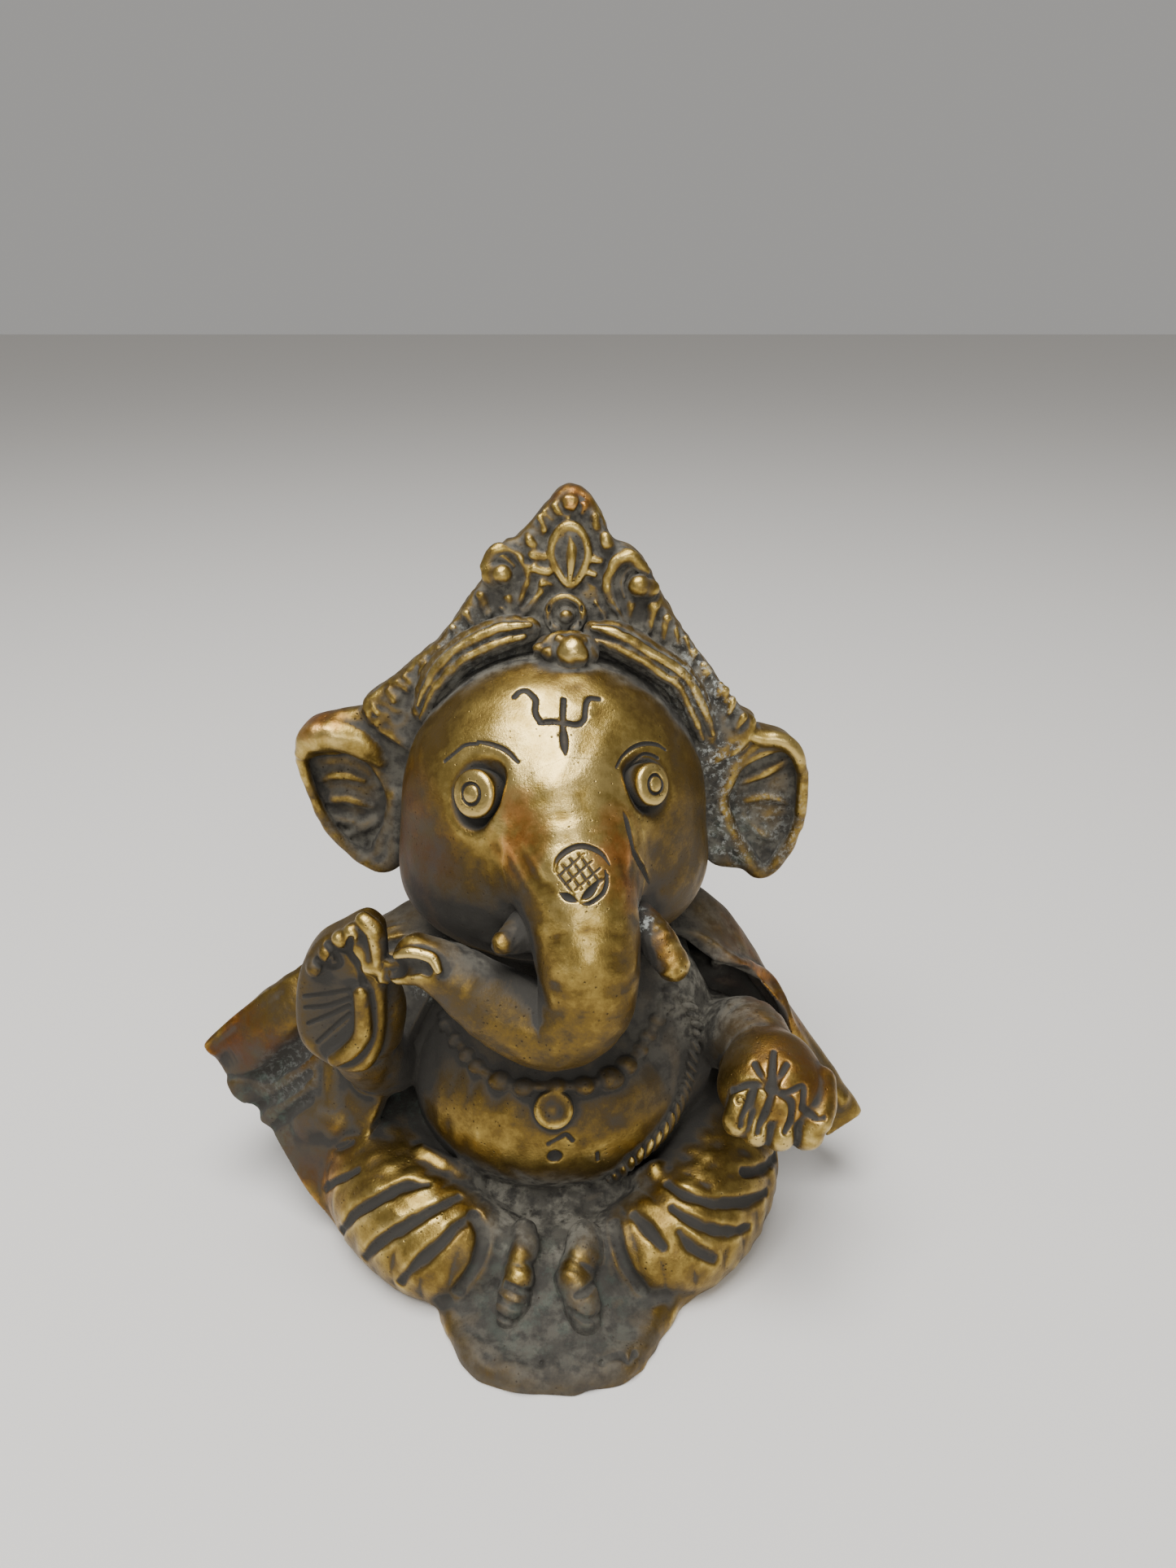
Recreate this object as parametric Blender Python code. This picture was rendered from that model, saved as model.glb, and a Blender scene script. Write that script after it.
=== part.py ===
"""Seated brass Ganesha idol, 100 mm tall, as the separate pieces it is put together from.

The idol faces -Y, +Z is up and the origin is on the flat underside, below the crown's tip.
"Right" and "left" are the figure's own, so the raised right hand is at -X.
Sizes and places in the tables below are in millimetres, and every mesh is built in metres.
"""

import math

import bmesh
import bpy
from mathutils import Matrix, Vector

MM = 0.001
FIT_GAP = 0.3  # clearance between two pieces that meet
HEAD_TURN = math.radians(6.0)  # the head looks a little towards its own left

# Driving dimensions
HEAD_CENTRE = (-1.5, 3.5, 60.0)
HEAD_RADII = (20.2, 17.0, 20.6)
CHEEK_CENTRE = (-1.5, 1.5, 52.5)
CHEEK_RADII = (20.6, 15.5, 12.5)
BELLY_CENTRE = (-2.4, -0.5, 21.5)
BELLY_RADII = (19.4, 16.8, 14.5)
CHEST_CENTRE = (-1.5, 4.0, 33.5)
CHEST_RADII = (17.0, 13.0, 10.0)
SHOULDER_CENTRE = (-1.5, 6.0, 37.0)
SHOULDER_RADII = (18.5, 8.5, 5.5)
SEAT_CENTRE = (-2.0, 4.0, 4.0)
SEAT_RADII = (24.0, 22.0, 9.0)
NECK_CENTRE = (-1.5, 4.0, 42.0)
NECK_RADIUS = 7.0
NECK_LENGTH = 12.0
CROWN_DEPTH = 3.6
CROWN_LEAN = math.radians(8.0)
CROWN_FOOT_Y = 5.2
CROWN_PIVOT_Z = 70.0
CROWN_ROUNDING = 0.8
BOSS_RISE = 0.35  # share of its radius by which a stud's middle stands proud of the crown
ARCH_X, ARCH_Z = 0.3, 85.4
ARCH_RADIUS = 2.4
ARCH_WIRE = 0.7
ARCH_PROUD = 0.4
ARCH_START = math.radians(-60)
ARCH_SPAN = math.radians(300)
BAND_RADII = (1.5, 1.7, 1.7, 1.3)
BROW_CENTRE = (0.7, 0.6, 81.6)
BROW_RADII = (3.4, 2.4, 2.2)
EAR_DEPTH = 4.4
EAR_Y = 9.5
APRON_TOP = 2.6
APRON_UNDER = 1.5  # how far it reaches below the ground before it is trimmed
CLOAK_THICKNESS = 2.8

RING_SIDES = 14
BALL_SEGMENTS = 20
CAP_ANGLES = (math.radians(30), math.radians(62))  # rings of a limb's rounded end
SLIVER = 0.004  # edges shorter than this are welded

# Voxel size and triangle count of each fused skin
SKINS = {
    "torso": (1.3, 620),
    "dhoti_base": (1.3, 900),
    "cloak": (1.1, 950),
    "arm_right": (1.0, 170),
    "arm_left": (1.0, 170),
    "hand_right": (0.9, 340),
    "hand_left": (0.8, 460),
    "head_shell": (1.3, 680),
    "ear_right": (0.95, 300),
    "ear_left": (0.95, 300),
}

POLISHED = ("polished_brass", (0.58, 0.43, 0.19), 0.32)
PATINA = ("patinated_brass", (0.24, 0.19, 0.13), 0.55)


def clear_scene():
    for obj in list(bpy.data.objects):
        bpy.data.objects.remove(obj, do_unlink=True)


def brass(finish):
    name, colour, roughness = finish
    found = bpy.data.materials.get(name)
    if found:
        return found
    made = bpy.data.materials.new(name)
    made.use_nodes = True
    shader = made.node_tree.nodes["Principled BSDF"]
    shader.inputs["Base Color"].default_value = (*colour, 1.0)
    shader.inputs["Roughness"].default_value = roughness
    shader.inputs["Metallic"].default_value = 1.0
    return made


def point(xyz):
    return Vector(xyz) * MM


# ---- closed shapes, added to a bmesh ----


def add_ball(bm, centre, radii, turn=0.0, segments=BALL_SEGMENTS):
    """An ellipsoid, turned about Z."""
    place = (
        Matrix.Translation(point(centre))
        @ Matrix.Rotation(turn, 4, "Z")
        @ Matrix.Diagonal((*point(radii), 1.0))
    )
    bmesh.ops.create_uvsphere(
        bm, u_segments=segments, v_segments=segments // 2, radius=1.0, matrix=place
    )


def add_drum(bm, start, end, radius, segments=RING_SIDES):
    """A cylinder between two points."""
    a, b = point(start), point(end)
    axis = b - a
    place = Matrix.Translation((a + b) / 2) @ axis.to_track_quat("Z", "Y").to_matrix().to_4x4()
    bmesh.ops.create_cone(
        bm,
        cap_ends=True,
        segments=segments,
        radius1=radius * MM,
        radius2=radius * MM,
        depth=axis.length,
        matrix=place,
    )


def smooth_path(points, radii, steps):
    """Catmull-Rom points and radii along a list of stations."""
    stations = [Vector((*p, r)) for p, r in zip(points, radii)]
    stations = [2 * stations[0] - stations[1], *stations, 2 * stations[-1] - stations[-2]]
    path = []
    for i in range(1, len(stations) - 2):
        a, b, c, d = stations[i - 1 : i + 3]
        for k in range(steps):
            t = k / steps
            path.append(
                0.5
                * (
                    2 * b
                    + (c - a) * t
                    + (2 * a - 5 * b + 4 * c - d) * t**2
                    + (3 * b - a - 3 * c + d) * t**3
                )
            )
    path.append(stations[-2])
    return [(p.xyz * MM, p[3] * MM) for p in path]


def add_limb(bm, points, radii, steps=3, sides=RING_SIDES):
    """A tube through the points with a rounded cap at each end."""
    path = smooth_path(points, radii, steps)
    first, last = path[0], path[-1]
    out = (first[0] - path[1][0]).normalized()
    on = (last[0] - path[-2][0]).normalized()
    caps = [(math.sin(a), math.cos(a)) for a in CAP_ANGLES]
    head = [(first[0] + out * first[1] * s, first[1] * c) for s, c in reversed(caps)]
    tail = [(last[0] + on * last[1] * s, last[1] * c) for s, c in caps]
    rings_at = head + path + tail
    side = None
    rings = []
    for i, (centre, radius) in enumerate(rings_at):
        before = rings_at[max(i - 1, 0)][0]
        after = rings_at[min(i + 1, len(rings_at) - 1)][0]
        along = (after - before).normalized()
        if side is None:
            side = along.orthogonal().normalized()
        side = (side - along * side.dot(along)).normalized()
        up = along.cross(side)
        angles = [2 * math.pi * k / sides for k in range(sides)]
        rings.append(
            [bm.verts.new(centre + radius * (side * math.cos(a) + up * math.sin(a))) for a in angles]
        )
    for a, b in zip(rings, rings[1:]):
        for k in range(sides):
            n = (k + 1) % sides
            bm.faces.new((a[k], a[n], b[n], b[k]))
    for ring, tip in ((rings[0], first[0] + out * first[1]), (rings[-1], last[0] + on * last[1])):
        apex = bm.verts.new(tip)
        for k in range(sides):
            n = (k + 1) % sides
            corners = (ring[n], ring[k], apex) if ring is rings[0] else (ring[k], ring[n], apex)
            bm.faces.new(corners)


def add_slab(bm, outline, low, high, place):
    """An outline in the XZ plane, extruded from low to high along Y and then placed by a matrix."""
    verts = [bm.verts.new(place @ point((x, low, z))) for x, z in outline]
    face = bm.faces.new(verts)
    grown = bmesh.ops.extrude_face_region(bm, geom=[face])
    moved = [v for v in grown["geom"] if isinstance(v, bmesh.types.BMVert)]
    shift = place.to_3x3() @ point((0.0, high - low, 0.0))
    bmesh.ops.translate(bm, verts=moved, vec=shift)


# ---- objects ----


def object_from(bm, name, finish):
    bmesh.ops.recalc_face_normals(bm, faces=bm.faces)
    mesh = bpy.data.meshes.new(name)
    bm.to_mesh(mesh)
    bm.free()
    mesh.materials.append(brass(finish))
    obj = bpy.data.objects.new(name, mesh)
    bpy.context.scene.collection.objects.link(obj)
    return obj


def islands(bm):
    """The separate bodies of a mesh, each as a set of vertices."""
    left = set(bm.verts)
    found = []
    while left:
        body = {left.pop()}
        edge_of_body = set(body)
        while edge_of_body:
            around = {e.other_vert(v) for v in edge_of_body for e in v.link_edges}
            edge_of_body = around - body
            body |= edge_of_body
        left -= body
        found.append(body)
    return found


def settle(obj):
    """Makes an object's modifiers part of its mesh, welds slivers and drops crumbs that a cut leaves."""
    bpy.context.view_layer.update()
    graph = bpy.context.evaluated_depsgraph_get()
    mesh = bpy.data.meshes.new_from_object(obj.evaluated_get(graph), depsgraph=graph)
    obj.modifiers.clear()
    bm = bmesh.new()
    bm.from_mesh(mesh)
    bmesh.ops.dissolve_degenerate(bm, dist=SLIVER * MM, edges=bm.edges)
    bodies = islands(bm)
    biggest = max(bodies, key=len)
    crumbs = [v for body in bodies if body is not biggest for v in body]
    bmesh.ops.delete(bm, geom=crumbs, context="VERTS")
    bm.to_mesh(mesh)
    bm.free()
    obj.data = mesh


def fuse(obj, smoothing=4):
    """Melts an object's overlapping shapes into one soft skin and thins it to its number of triangles."""
    voxel, triangles = SKINS[obj.name]
    melt = obj.modifiers.new("melt", "REMESH")
    melt.mode = "VOXEL"
    melt.voxel_size = voxel * MM
    soften = obj.modifiers.new("soften", "SMOOTH")
    soften.iterations = smoothing
    settle(obj)
    thin = obj.modifiers.new("thin", "DECIMATE")
    thin.ratio = triangles / (2 * len(obj.data.polygons))
    settle(obj)
    return obj


def cut(obj, shape, gap=FIT_GAP):
    """Takes another piece's whole shape, grown by the fit gap, out of this one."""
    cutter = bpy.data.objects.new(shape.name + "_clearance", shape)
    cutter.hide_render = True
    cutter.display_type = "WIRE"
    bpy.context.scene.collection.objects.link(cutter)
    grow = cutter.modifiers.new("grow", "DISPLACE")
    grow.strength = gap * MM
    grow.mid_level = 0.0
    take = obj.modifiers.new("take", "BOOLEAN")
    take.operation = "DIFFERENCE"
    take.object = cutter
    settle(obj)
    bpy.data.objects.remove(cutter, do_unlink=True)


def cut_all(obj, others, whole):
    for other in others:
        cut(obj, whole[other.name])


def trim_underside(obj, height=0.0):
    """Cuts a piece off flat at a height, with a closed underside."""
    bm = bmesh.new()
    bm.from_mesh(obj.data)
    bmesh.ops.bisect_plane(
        bm,
        geom=bm.verts[:] + bm.edges[:] + bm.faces[:],
        plane_co=point((0.0, 0.0, height)),
        plane_no=(0.0, 0.0, 1.0),
        clear_inner=True,
    )
    rim = [e for e in bm.edges if e.is_boundary]
    bmesh.ops.holes_fill(bm, edges=rim, sides=0)
    bmesh.ops.recalc_face_normals(bm, faces=bm.faces)
    bm.to_mesh(obj.data)
    bm.free()


# ---- body ----


def build_torso():
    bm = bmesh.new()
    add_ball(bm, BELLY_CENTRE, BELLY_RADII)
    add_ball(bm, CHEST_CENTRE, CHEST_RADII)
    add_ball(bm, SHOULDER_CENTRE, SHOULDER_RADII)
    return fuse(object_from(bm, "torso", POLISHED))


def build_neck():
    bm = bmesh.new()
    x, y, z = NECK_CENTRE
    half = NECK_LENGTH / 2
    add_drum(bm, (x, y, z - half), (x, y, z + half), NECK_RADIUS, 24)
    return object_from(bm, "neck_tenon", PATINA)


LEG_RIGHT = (
    (-15.0, 8.0, 8.0),
    (-23.5, 1.0, 7.8),
    (-24.8, -8.6, 6.4),
    (-17.4, -18.4, 5.6),
    (-8.0, -21.5, 4.6),
)
LEG_LEFT = (
    (12.0, 8.0, 8.0),
    (19.5, 1.0, 8.2),
    (20.4, -7.6, 6.6),
    (15.0, -17.6, 5.6),
    (6.0, -21.0, 4.6),
)
LEG_RADII = (8.5, 9.4, 9.6, 8.4, 5.2)
APRON_OUTLINE = (
    (-16.5, -20.0),
    (-14.8, -30.5),
    (-11.5, -35.4),
    (-7.7, -37.4),
    (-0.7, -38.0),
    (8.0, -37.2),
    (10.8, -34.4),
    (13.4, -28.0),
    (15.0, -18.0),
)


def build_dhoti():
    """The crossed legs in their pleated cloth, the seat and the scalloped lip under the feet."""
    bm = bmesh.new()
    add_limb(bm, LEG_RIGHT, LEG_RADII)
    add_limb(bm, LEG_LEFT, LEG_RADII)
    add_ball(bm, SEAT_CENTRE, SEAT_RADII, segments=24)
    lie_flat = Matrix.Rotation(math.radians(90), 4, "X") @ Matrix.Scale(-1, 4, (0, 0, 1))
    add_slab(bm, APRON_OUTLINE, APRON_UNDER, -APRON_TOP, lie_flat)
    legs = fuse(object_from(bm, "dhoti_base", PATINA))
    trim_underside(legs)
    return legs


FOOT_RIGHT = ((-5.4, -20.5, 9.6), (-6.0, -26.5, 7.4), (-6.6, -31.0, 4.4))
FOOT_LEFT = ((1.6, -20.5, 9.6), (1.5, -26.8, 7.2), (2.3, -31.4, 4.4))
FOOT_RADII = (3.0, 3.2, 2.4)


def build_foot(name, stations):
    bm = bmesh.new()
    add_limb(bm, stations, FOOT_RADII, sides=12)
    return object_from(bm, name, POLISHED)


# Each row is a line of the cloak from the neck, over a shoulder point, to the hem. The rows run from its
# right front edge, round the back, to its left front edge.
CLOAK_LINES = (
    ((-17.0, -3.0, 37.0), (-25.0, -9.0, 26.0), (-32.0, -13.5, 1.2)),
    ((-17.0, 0.0, 39.0), (-31.0, -4.5, 34.0), (-41.6, -6.0, 10.0)),
    ((-16.0, 3.0, 41.5), (-34.0, 3.0, 41.5), (-52.0, 1.0, 22.0)),
    ((-14.0, 8.0, 44.0), (-33.0, 12.0, 43.0), (-42.0, 14.0, 8.0)),
    ((-9.0, 13.0, 44.5), (-20.0, 22.0, 40.0), (-25.0, 24.0, 1.6)),
    ((-1.5, 15.0, 45.0), (-1.5, 25.0, 40.0), (-1.5, 27.5, 1.2)),
    ((7.0, 13.0, 44.5), (17.0, 21.0, 40.0), (22.0, 23.0, 1.6)),
    ((12.0, 8.0, 44.0), (26.0, 12.0, 42.0), (35.0, 12.0, 4.0)),
    ((14.0, 3.0, 42.0), (27.0, 4.0, 41.5), (43.5, 0.0, 11.6)),
    ((14.5, 0.5, 39.0), (30.0, -3.0, 42.0), (37.5, -3.4, 9.0)),
)
CLOAK_STEPS = 9
CLOAK_BETWEEN = 3


def cloak_rows():
    """The cloak's lines with more of them between, each as points from the neck to the hem."""
    no_width = (0.0,) * len(CLOAK_LINES)
    tracks = [smooth_path(track, no_width, CLOAK_BETWEEN) for track in zip(*CLOAK_LINES)]
    rows = []
    for (neck, _), (shoulder, _), (hem, _) in zip(*tracks):
        steps = [k / CLOAK_STEPS for k in range(CLOAK_STEPS + 1)]
        rows.append([neck * (1 - t) ** 2 + 2 * shoulder * t * (1 - t) + hem * t**2 for t in steps])
    return rows


def build_cloak():
    """A sheet lofted through the cloak's lines, given its thickness by Solidify."""
    bm = bmesh.new()
    rows = [[bm.verts.new(p) for p in row] for row in cloak_rows()]
    for a, b in zip(rows, rows[1:]):
        for k in range(CLOAK_STEPS):
            bm.faces.new((a[k], a[k + 1], b[k + 1], b[k]))
    bm.normal_update()
    middle = point(BELLY_CENTRE)
    if sum((f.calc_center_median() - middle).dot(f.normal) for f in bm.faces) < 0:
        bmesh.ops.reverse_faces(bm, faces=bm.faces)
    mesh = bpy.data.meshes.new("cloak")
    bm.to_mesh(mesh)
    bm.free()
    mesh.materials.append(brass(PATINA))
    obj = bpy.data.objects.new("cloak", mesh)
    bpy.context.scene.collection.objects.link(obj)
    wall = obj.modifiers.new("wall", "SOLIDIFY")
    wall.thickness = CLOAK_THICKNESS * MM
    wall.offset = -1.0
    return fuse(obj)


# ---- arms ----


ARM_RIGHT = ((-18.0, 4.0, 33.0), (-24.5, -2.0, 23.5), (-26.5, -8.5, 28.5), (-27.0, -11.0, 33.5))
ARM_RIGHT_RADII = (5.0, 5.2, 4.6, 4.0)
ARM_LEFT = ((17.0, 4.0, 32.5), (24.0, -2.0, 32.0), (26.0, -8.5, 31.2), (26.2, -12.8, 30.6))
ARM_LEFT_RADII = (5.0, 5.4, 5.3, 4.6)
PALM_OUTLINE = (
    (-24.2, 33.6),
    (-29.2, 32.6),
    (-32.6, 37.0),
    (-33.2, 44.5),
    (-31.4, 49.8),
    (-27.2, 53.0),
    (-23.6, 52.4),
    (-22.2, 46.5),
    (-22.4, 38.0),
)
PALM_FRONT_Y = -16.2
PALM_BACK_Y = -11.6
THUMB = ((-24.4, -16.0, 34.5), (-23.8, -17.0, 38.5), (-24.2, -17.0, 42.0))
THUMB_RADII = (1.6, 1.7, 1.3)
FIST_CENTRE = (26.2, -18.6, 30.0)
FIST_RADII = (7.0, 6.0, 5.6)
FINGER_RADIUS = 1.7
FINGER_SPREAD = 3.1
FINGER_TOP = (-3.6, 1.6)  # y and z from the fist's centre
FINGER_TIP = (-4.2, -2.2)
BRACELET_CENTRE = Vector((26.1, -12.4, 30.7))
BRACELET_RADIUS = 5.1
BRACELET_WIRE = 0.9
BRACELET_LEAN = 0.8  # how far its top stands nearer the hand
BRACELET_START = math.radians(200)
BRACELET_SPAN = math.radians(220)


def build_arm(name, stations, radii):
    bm = bmesh.new()
    add_limb(bm, stations, radii, steps=4)
    return fuse(object_from(bm, name, PATINA))


def build_right_hand():
    """The raised, open hand: a rounded palm with its thumb lying along the inner edge."""
    bm = bmesh.new()
    add_slab(bm, PALM_OUTLINE, PALM_FRONT_Y, PALM_BACK_Y, Matrix.Identity(4))
    add_limb(bm, THUMB, THUMB_RADII)
    return fuse(object_from(bm, "hand_right", POLISHED))


def build_left_hand():
    """The lowered hand, held out palm down with four curled fingers and the thumb at its side."""
    bm = bmesh.new()
    x, y, z = FIST_CENTRE
    add_ball(bm, FIST_CENTRE, FIST_RADII)
    for i in range(4):
        across = (i - 1.7) * FINGER_SPREAD
        top = (x + across, y + FINGER_TOP[0], z + FINGER_TOP[1])
        tip = (x + across, y + FINGER_TIP[0], z + FINGER_TIP[1])
        add_limb(bm, (top, tip), (FINGER_RADIUS, FINGER_RADIUS))
    return fuse(object_from(bm, "hand_left", POLISHED), smoothing=3)


def build_bracelet():
    bm = bmesh.new()
    x, y, z = BRACELET_CENTRE
    turns = [BRACELET_START - BRACELET_SPAN * k / 8 for k in range(9)]
    ring = [
        (x + BRACELET_RADIUS * math.cos(a), y - BRACELET_LEAN * math.sin(a), z + BRACELET_RADIUS * math.sin(a))
        for a in turns
    ]
    add_limb(bm, ring, (BRACELET_WIRE,) * len(ring), steps=2, sides=8)
    return object_from(bm, "bracelet_left", PATINA)


# ---- head ----


def build_head():
    bm = bmesh.new()
    add_ball(bm, HEAD_CENTRE, HEAD_RADII, HEAD_TURN, segments=28)
    add_ball(bm, CHEEK_CENTRE, CHEEK_RADII, HEAD_TURN)
    return fuse(object_from(bm, "head_shell", POLISHED))


TRUNK_PATH = (
    (0.4, -8.0, 64.0),
    (1.6, -14.0, 58.0),
    (2.8, -18.6, 51.0),
    (2.6, -20.2, 44.5),
    (-1.6, -19.8, 40.6),
    (-8.0, -19.0, 43.2),
    (-13.4, -18.4, 47.4),
    (-17.6, -17.8, 49.6),
)
TRUNK_RADII = (8.0, 7.0, 5.9, 5.2, 4.7, 4.3, 3.3, 2.6)


def build_trunk():
    bm = bmesh.new()
    add_limb(bm, TRUNK_PATH, TRUNK_RADII, steps=3, sides=14)
    return object_from(bm, "trunk", POLISHED)


TUSK_RIGHT = ((-4.8, -13.4, 53.6), (-6.6, -18.6, 52.2))
TUSK_RIGHT_RADII = (2.4, 1.4)
TUSK_LEFT = ((9.6, -12.6, 53.0), (13.2, -17.4, 48.8))
TUSK_LEFT_RADII = (2.2, 1.7)
EYE_RIGHT_CENTRE = (-10.6, -10.4, 67.8)
EYE_RIGHT_RADIUS = 2.9
EYE_LEFT_CENTRE = (10.6, -9.0, 68.4)
EYE_LEFT_RADIUS = 2.7
EYE_SUNK = 2.0
EYE_PROUD = 0.9
EYE_ROUNDING = 0.5


def build_tusk(name, stations, radii):
    bm = bmesh.new()
    add_limb(bm, stations, radii, steps=3, sides=12)
    return object_from(bm, name, POLISHED)


def build_eye(name, centre, radius):
    """A round button set in the face, looking straight out from it."""
    bm = bmesh.new()
    outward = (Vector(centre) - Vector(HEAD_CENTRE)).normalized()
    inner = Vector(centre) - outward * EYE_SUNK
    outer = Vector(centre) + outward * EYE_PROUD
    add_drum(bm, inner, outer, radius, 20)
    obj = object_from(bm, name, POLISHED)
    edge = obj.modifiers.new("rounded_edge", "BEVEL")
    edge.width = EYE_ROUNDING * MM
    edge.segments = 2
    settle(obj)
    return obj


EAR_RIGHT_OUTLINE = (
    (-18.5, 66.0),
    (-27.0, 71.2),
    (-33.0, 70.4),
    (-36.6, 67.0),
    (-36.4, 60.5),
    (-34.4, 55.2),
    (-31.2, 50.4),
    (-27.4, 48.0),
    (-23.6, 48.6),
    (-19.0, 55.0),
)
EAR_LEFT_OUTLINE = (
    (16.0, 66.0),
    (25.7, 68.9),
    (30.3, 67.6),
    (33.2, 64.0),
    (33.6, 58.6),
    (32.3, 53.0),
    (29.6, 48.6),
    (26.6, 46.6),
    (22.0, 48.2),
    (16.5, 54.0),
)


HOLLOW_RIGHT_CENTRE = (-29.6, 4.2, 59.6)
HOLLOW_LEFT_CENTRE = (26.6, 4.2, 58.0)
HOLLOW_RADII = (6.8, 4.4, 9.4)


def build_ear(name, outline, hollow_centre):
    """A fan-shaped dish, hollowed from the front."""
    bm = bmesh.new()
    add_slab(bm, outline, EAR_Y - EAR_DEPTH, EAR_Y, Matrix.Identity(4))
    ear = fuse(object_from(bm, name, PATINA), smoothing=5)
    hollow = bmesh.new()
    add_ball(hollow, hollow_centre, HOLLOW_RADII)
    dish = object_from(hollow, name + "_hollow", PATINA)
    cut(ear, dish.data, gap=0.0)
    bpy.data.objects.remove(dish, do_unlink=True)
    return ear


# ---- crown ----


CROWN_OUTLINE = (
    (-27.3, 71.4),
    (-19.8, 77.6),
    (-12.8, 86.0),
    (-8.2, 92.7),
    (-2.8, 99.0),
    (0.7, 100.0),
    (4.0, 98.6),
    (6.5, 93.6),
    (11.0, 89.5),
    (16.2, 80.4),
    (21.5, 73.0),
    (25.7, 68.9),
    (18.0, 66.0),
    (0.0, 68.0),
    (-19.0, 67.0),
)


def crown_place():
    """Leans the crown back about a line across its foot."""
    pivot = point((0.0, CROWN_FOOT_Y, CROWN_PIVOT_Z))
    return Matrix.Translation(pivot) @ Matrix.Rotation(-CROWN_LEAN, 4, "X") @ Matrix.Translation(-pivot)


def on_crown(x, z, proud=0.0):
    """A point on the crown's front face, in millimetres."""
    lean = math.tan(CROWN_LEAN) * (z - CROWN_PIVOT_Z)
    return (x, CROWN_FOOT_Y + lean - proud, z)


def build_crown():
    bm = bmesh.new()
    place = crown_place()
    stretch = 1.0 / math.cos(CROWN_LEAN)
    tall = [(x, CROWN_PIVOT_Z + (z - CROWN_PIVOT_Z) * stretch) for x, z in CROWN_OUTLINE]
    add_slab(bm, tall, CROWN_FOOT_Y, CROWN_FOOT_Y + CROWN_DEPTH, place)
    obj = object_from(bm, "crown_plate", PATINA)
    edge = obj.modifiers.new("rounded_edge", "BEVEL")
    edge.width = CROWN_ROUNDING * MM
    edge.segments = 2
    edge.limit_method = "ANGLE"
    settle(obj)
    return obj


def build_boss(name, x, z, radii):
    bm = bmesh.new()
    add_ball(bm, on_crown(x, z, radii[1] * BOSS_RISE), radii, segments=12)
    return object_from(bm, name, POLISHED)


def build_arch_ring():
    """A raised ring, open at its foot."""
    bm = bmesh.new()
    turns = [ARCH_START + ARCH_SPAN * k / 8 for k in range(9)]
    ring = [
        on_crown(ARCH_X + ARCH_RADIUS * math.cos(a), ARCH_Z + ARCH_RADIUS * math.sin(a), ARCH_PROUD)
        for a in turns
    ]
    add_limb(bm, ring, (ARCH_WIRE,) * len(ring), steps=2, sides=6)
    return object_from(bm, "crown_arch_ring", POLISHED)


BAND_RIGHT = ((-4.2, 2.2, 84.2), (-9.0, 2.6, 82.4), (-14.6, 3.2, 78.6), (-19.2, 4.0, 73.0))
BAND_LEFT = ((3.8, 2.2, 84.0), (9.4, 2.6, 81.4), (14.8, 3.2, 76.6), (19.0, 4.0, 70.0))


def build_band(name, stations):
    bm = bmesh.new()
    add_limb(bm, stations, BAND_RADII, steps=2, sides=8)
    return object_from(bm, name, POLISHED)


def build_brow_ornament():
    bm = bmesh.new()
    add_ball(bm, BROW_CENTRE, BROW_RADII, segments=12)
    return object_from(bm, "brow_ornament", POLISHED)


# ---- ornaments on the chest ----


NECKLACE_PATH = (
    (12.8, -7.4, 35.6),
    (11.4, -10.8, 31.6),
    (7.4, -13.6, 28.6),
    (2.6, -15.2, 27.2),
    (-3.4, -15.4, 27.2),
    (-9.0, -14.2, 28.4),
    (-13.4, -11.4, 31.4),
    (-15.4, -8.0, 35.2),
)
THREAD_PATH = (
    (14.6, -5.2, 33.4),
    (16.6, -5.6, 27.6),
    (16.4, -7.0, 21.6),
    (13.6, -10.6, 16.2),
    (9.4, -14.0, 12.6),
    (4.4, -15.4, 10.2),
)


STRAND_RADIUS = {"necklace": 1.1, "sacred_thread": 0.9}
PENDANT_BACK = (-1.6, -14.8, 24.6)
PENDANT_FRONT = (-1.6, -17.6, 25.4)
PENDANT_RADIUS = 2.5
WEB = ((-19.2, -16.6, 47.6), (-23.4, -15.4, 47.2))
WEB_RADIUS = 1.5
CLOAK_UNDERSIDE_Z = 0.5


def build_strand(name, path):
    bm = bmesh.new()
    add_limb(bm, path, (STRAND_RADIUS[name],) * len(path), steps=3, sides=8)
    return object_from(bm, name, POLISHED)


def build_pendant():
    bm = bmesh.new()
    add_drum(bm, PENDANT_BACK, PENDANT_FRONT, PENDANT_RADIUS, 20)
    return object_from(bm, "pendant", POLISHED)


def build_web():
    """The runner of metal that ties the trunk's tip to the edge of the raised hand."""
    bm = bmesh.new()
    add_limb(bm, WEB, (WEB_RADIUS, WEB_RADIUS), sides=10)
    return object_from(bm, "trunk_hand_web", PATINA)


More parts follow.
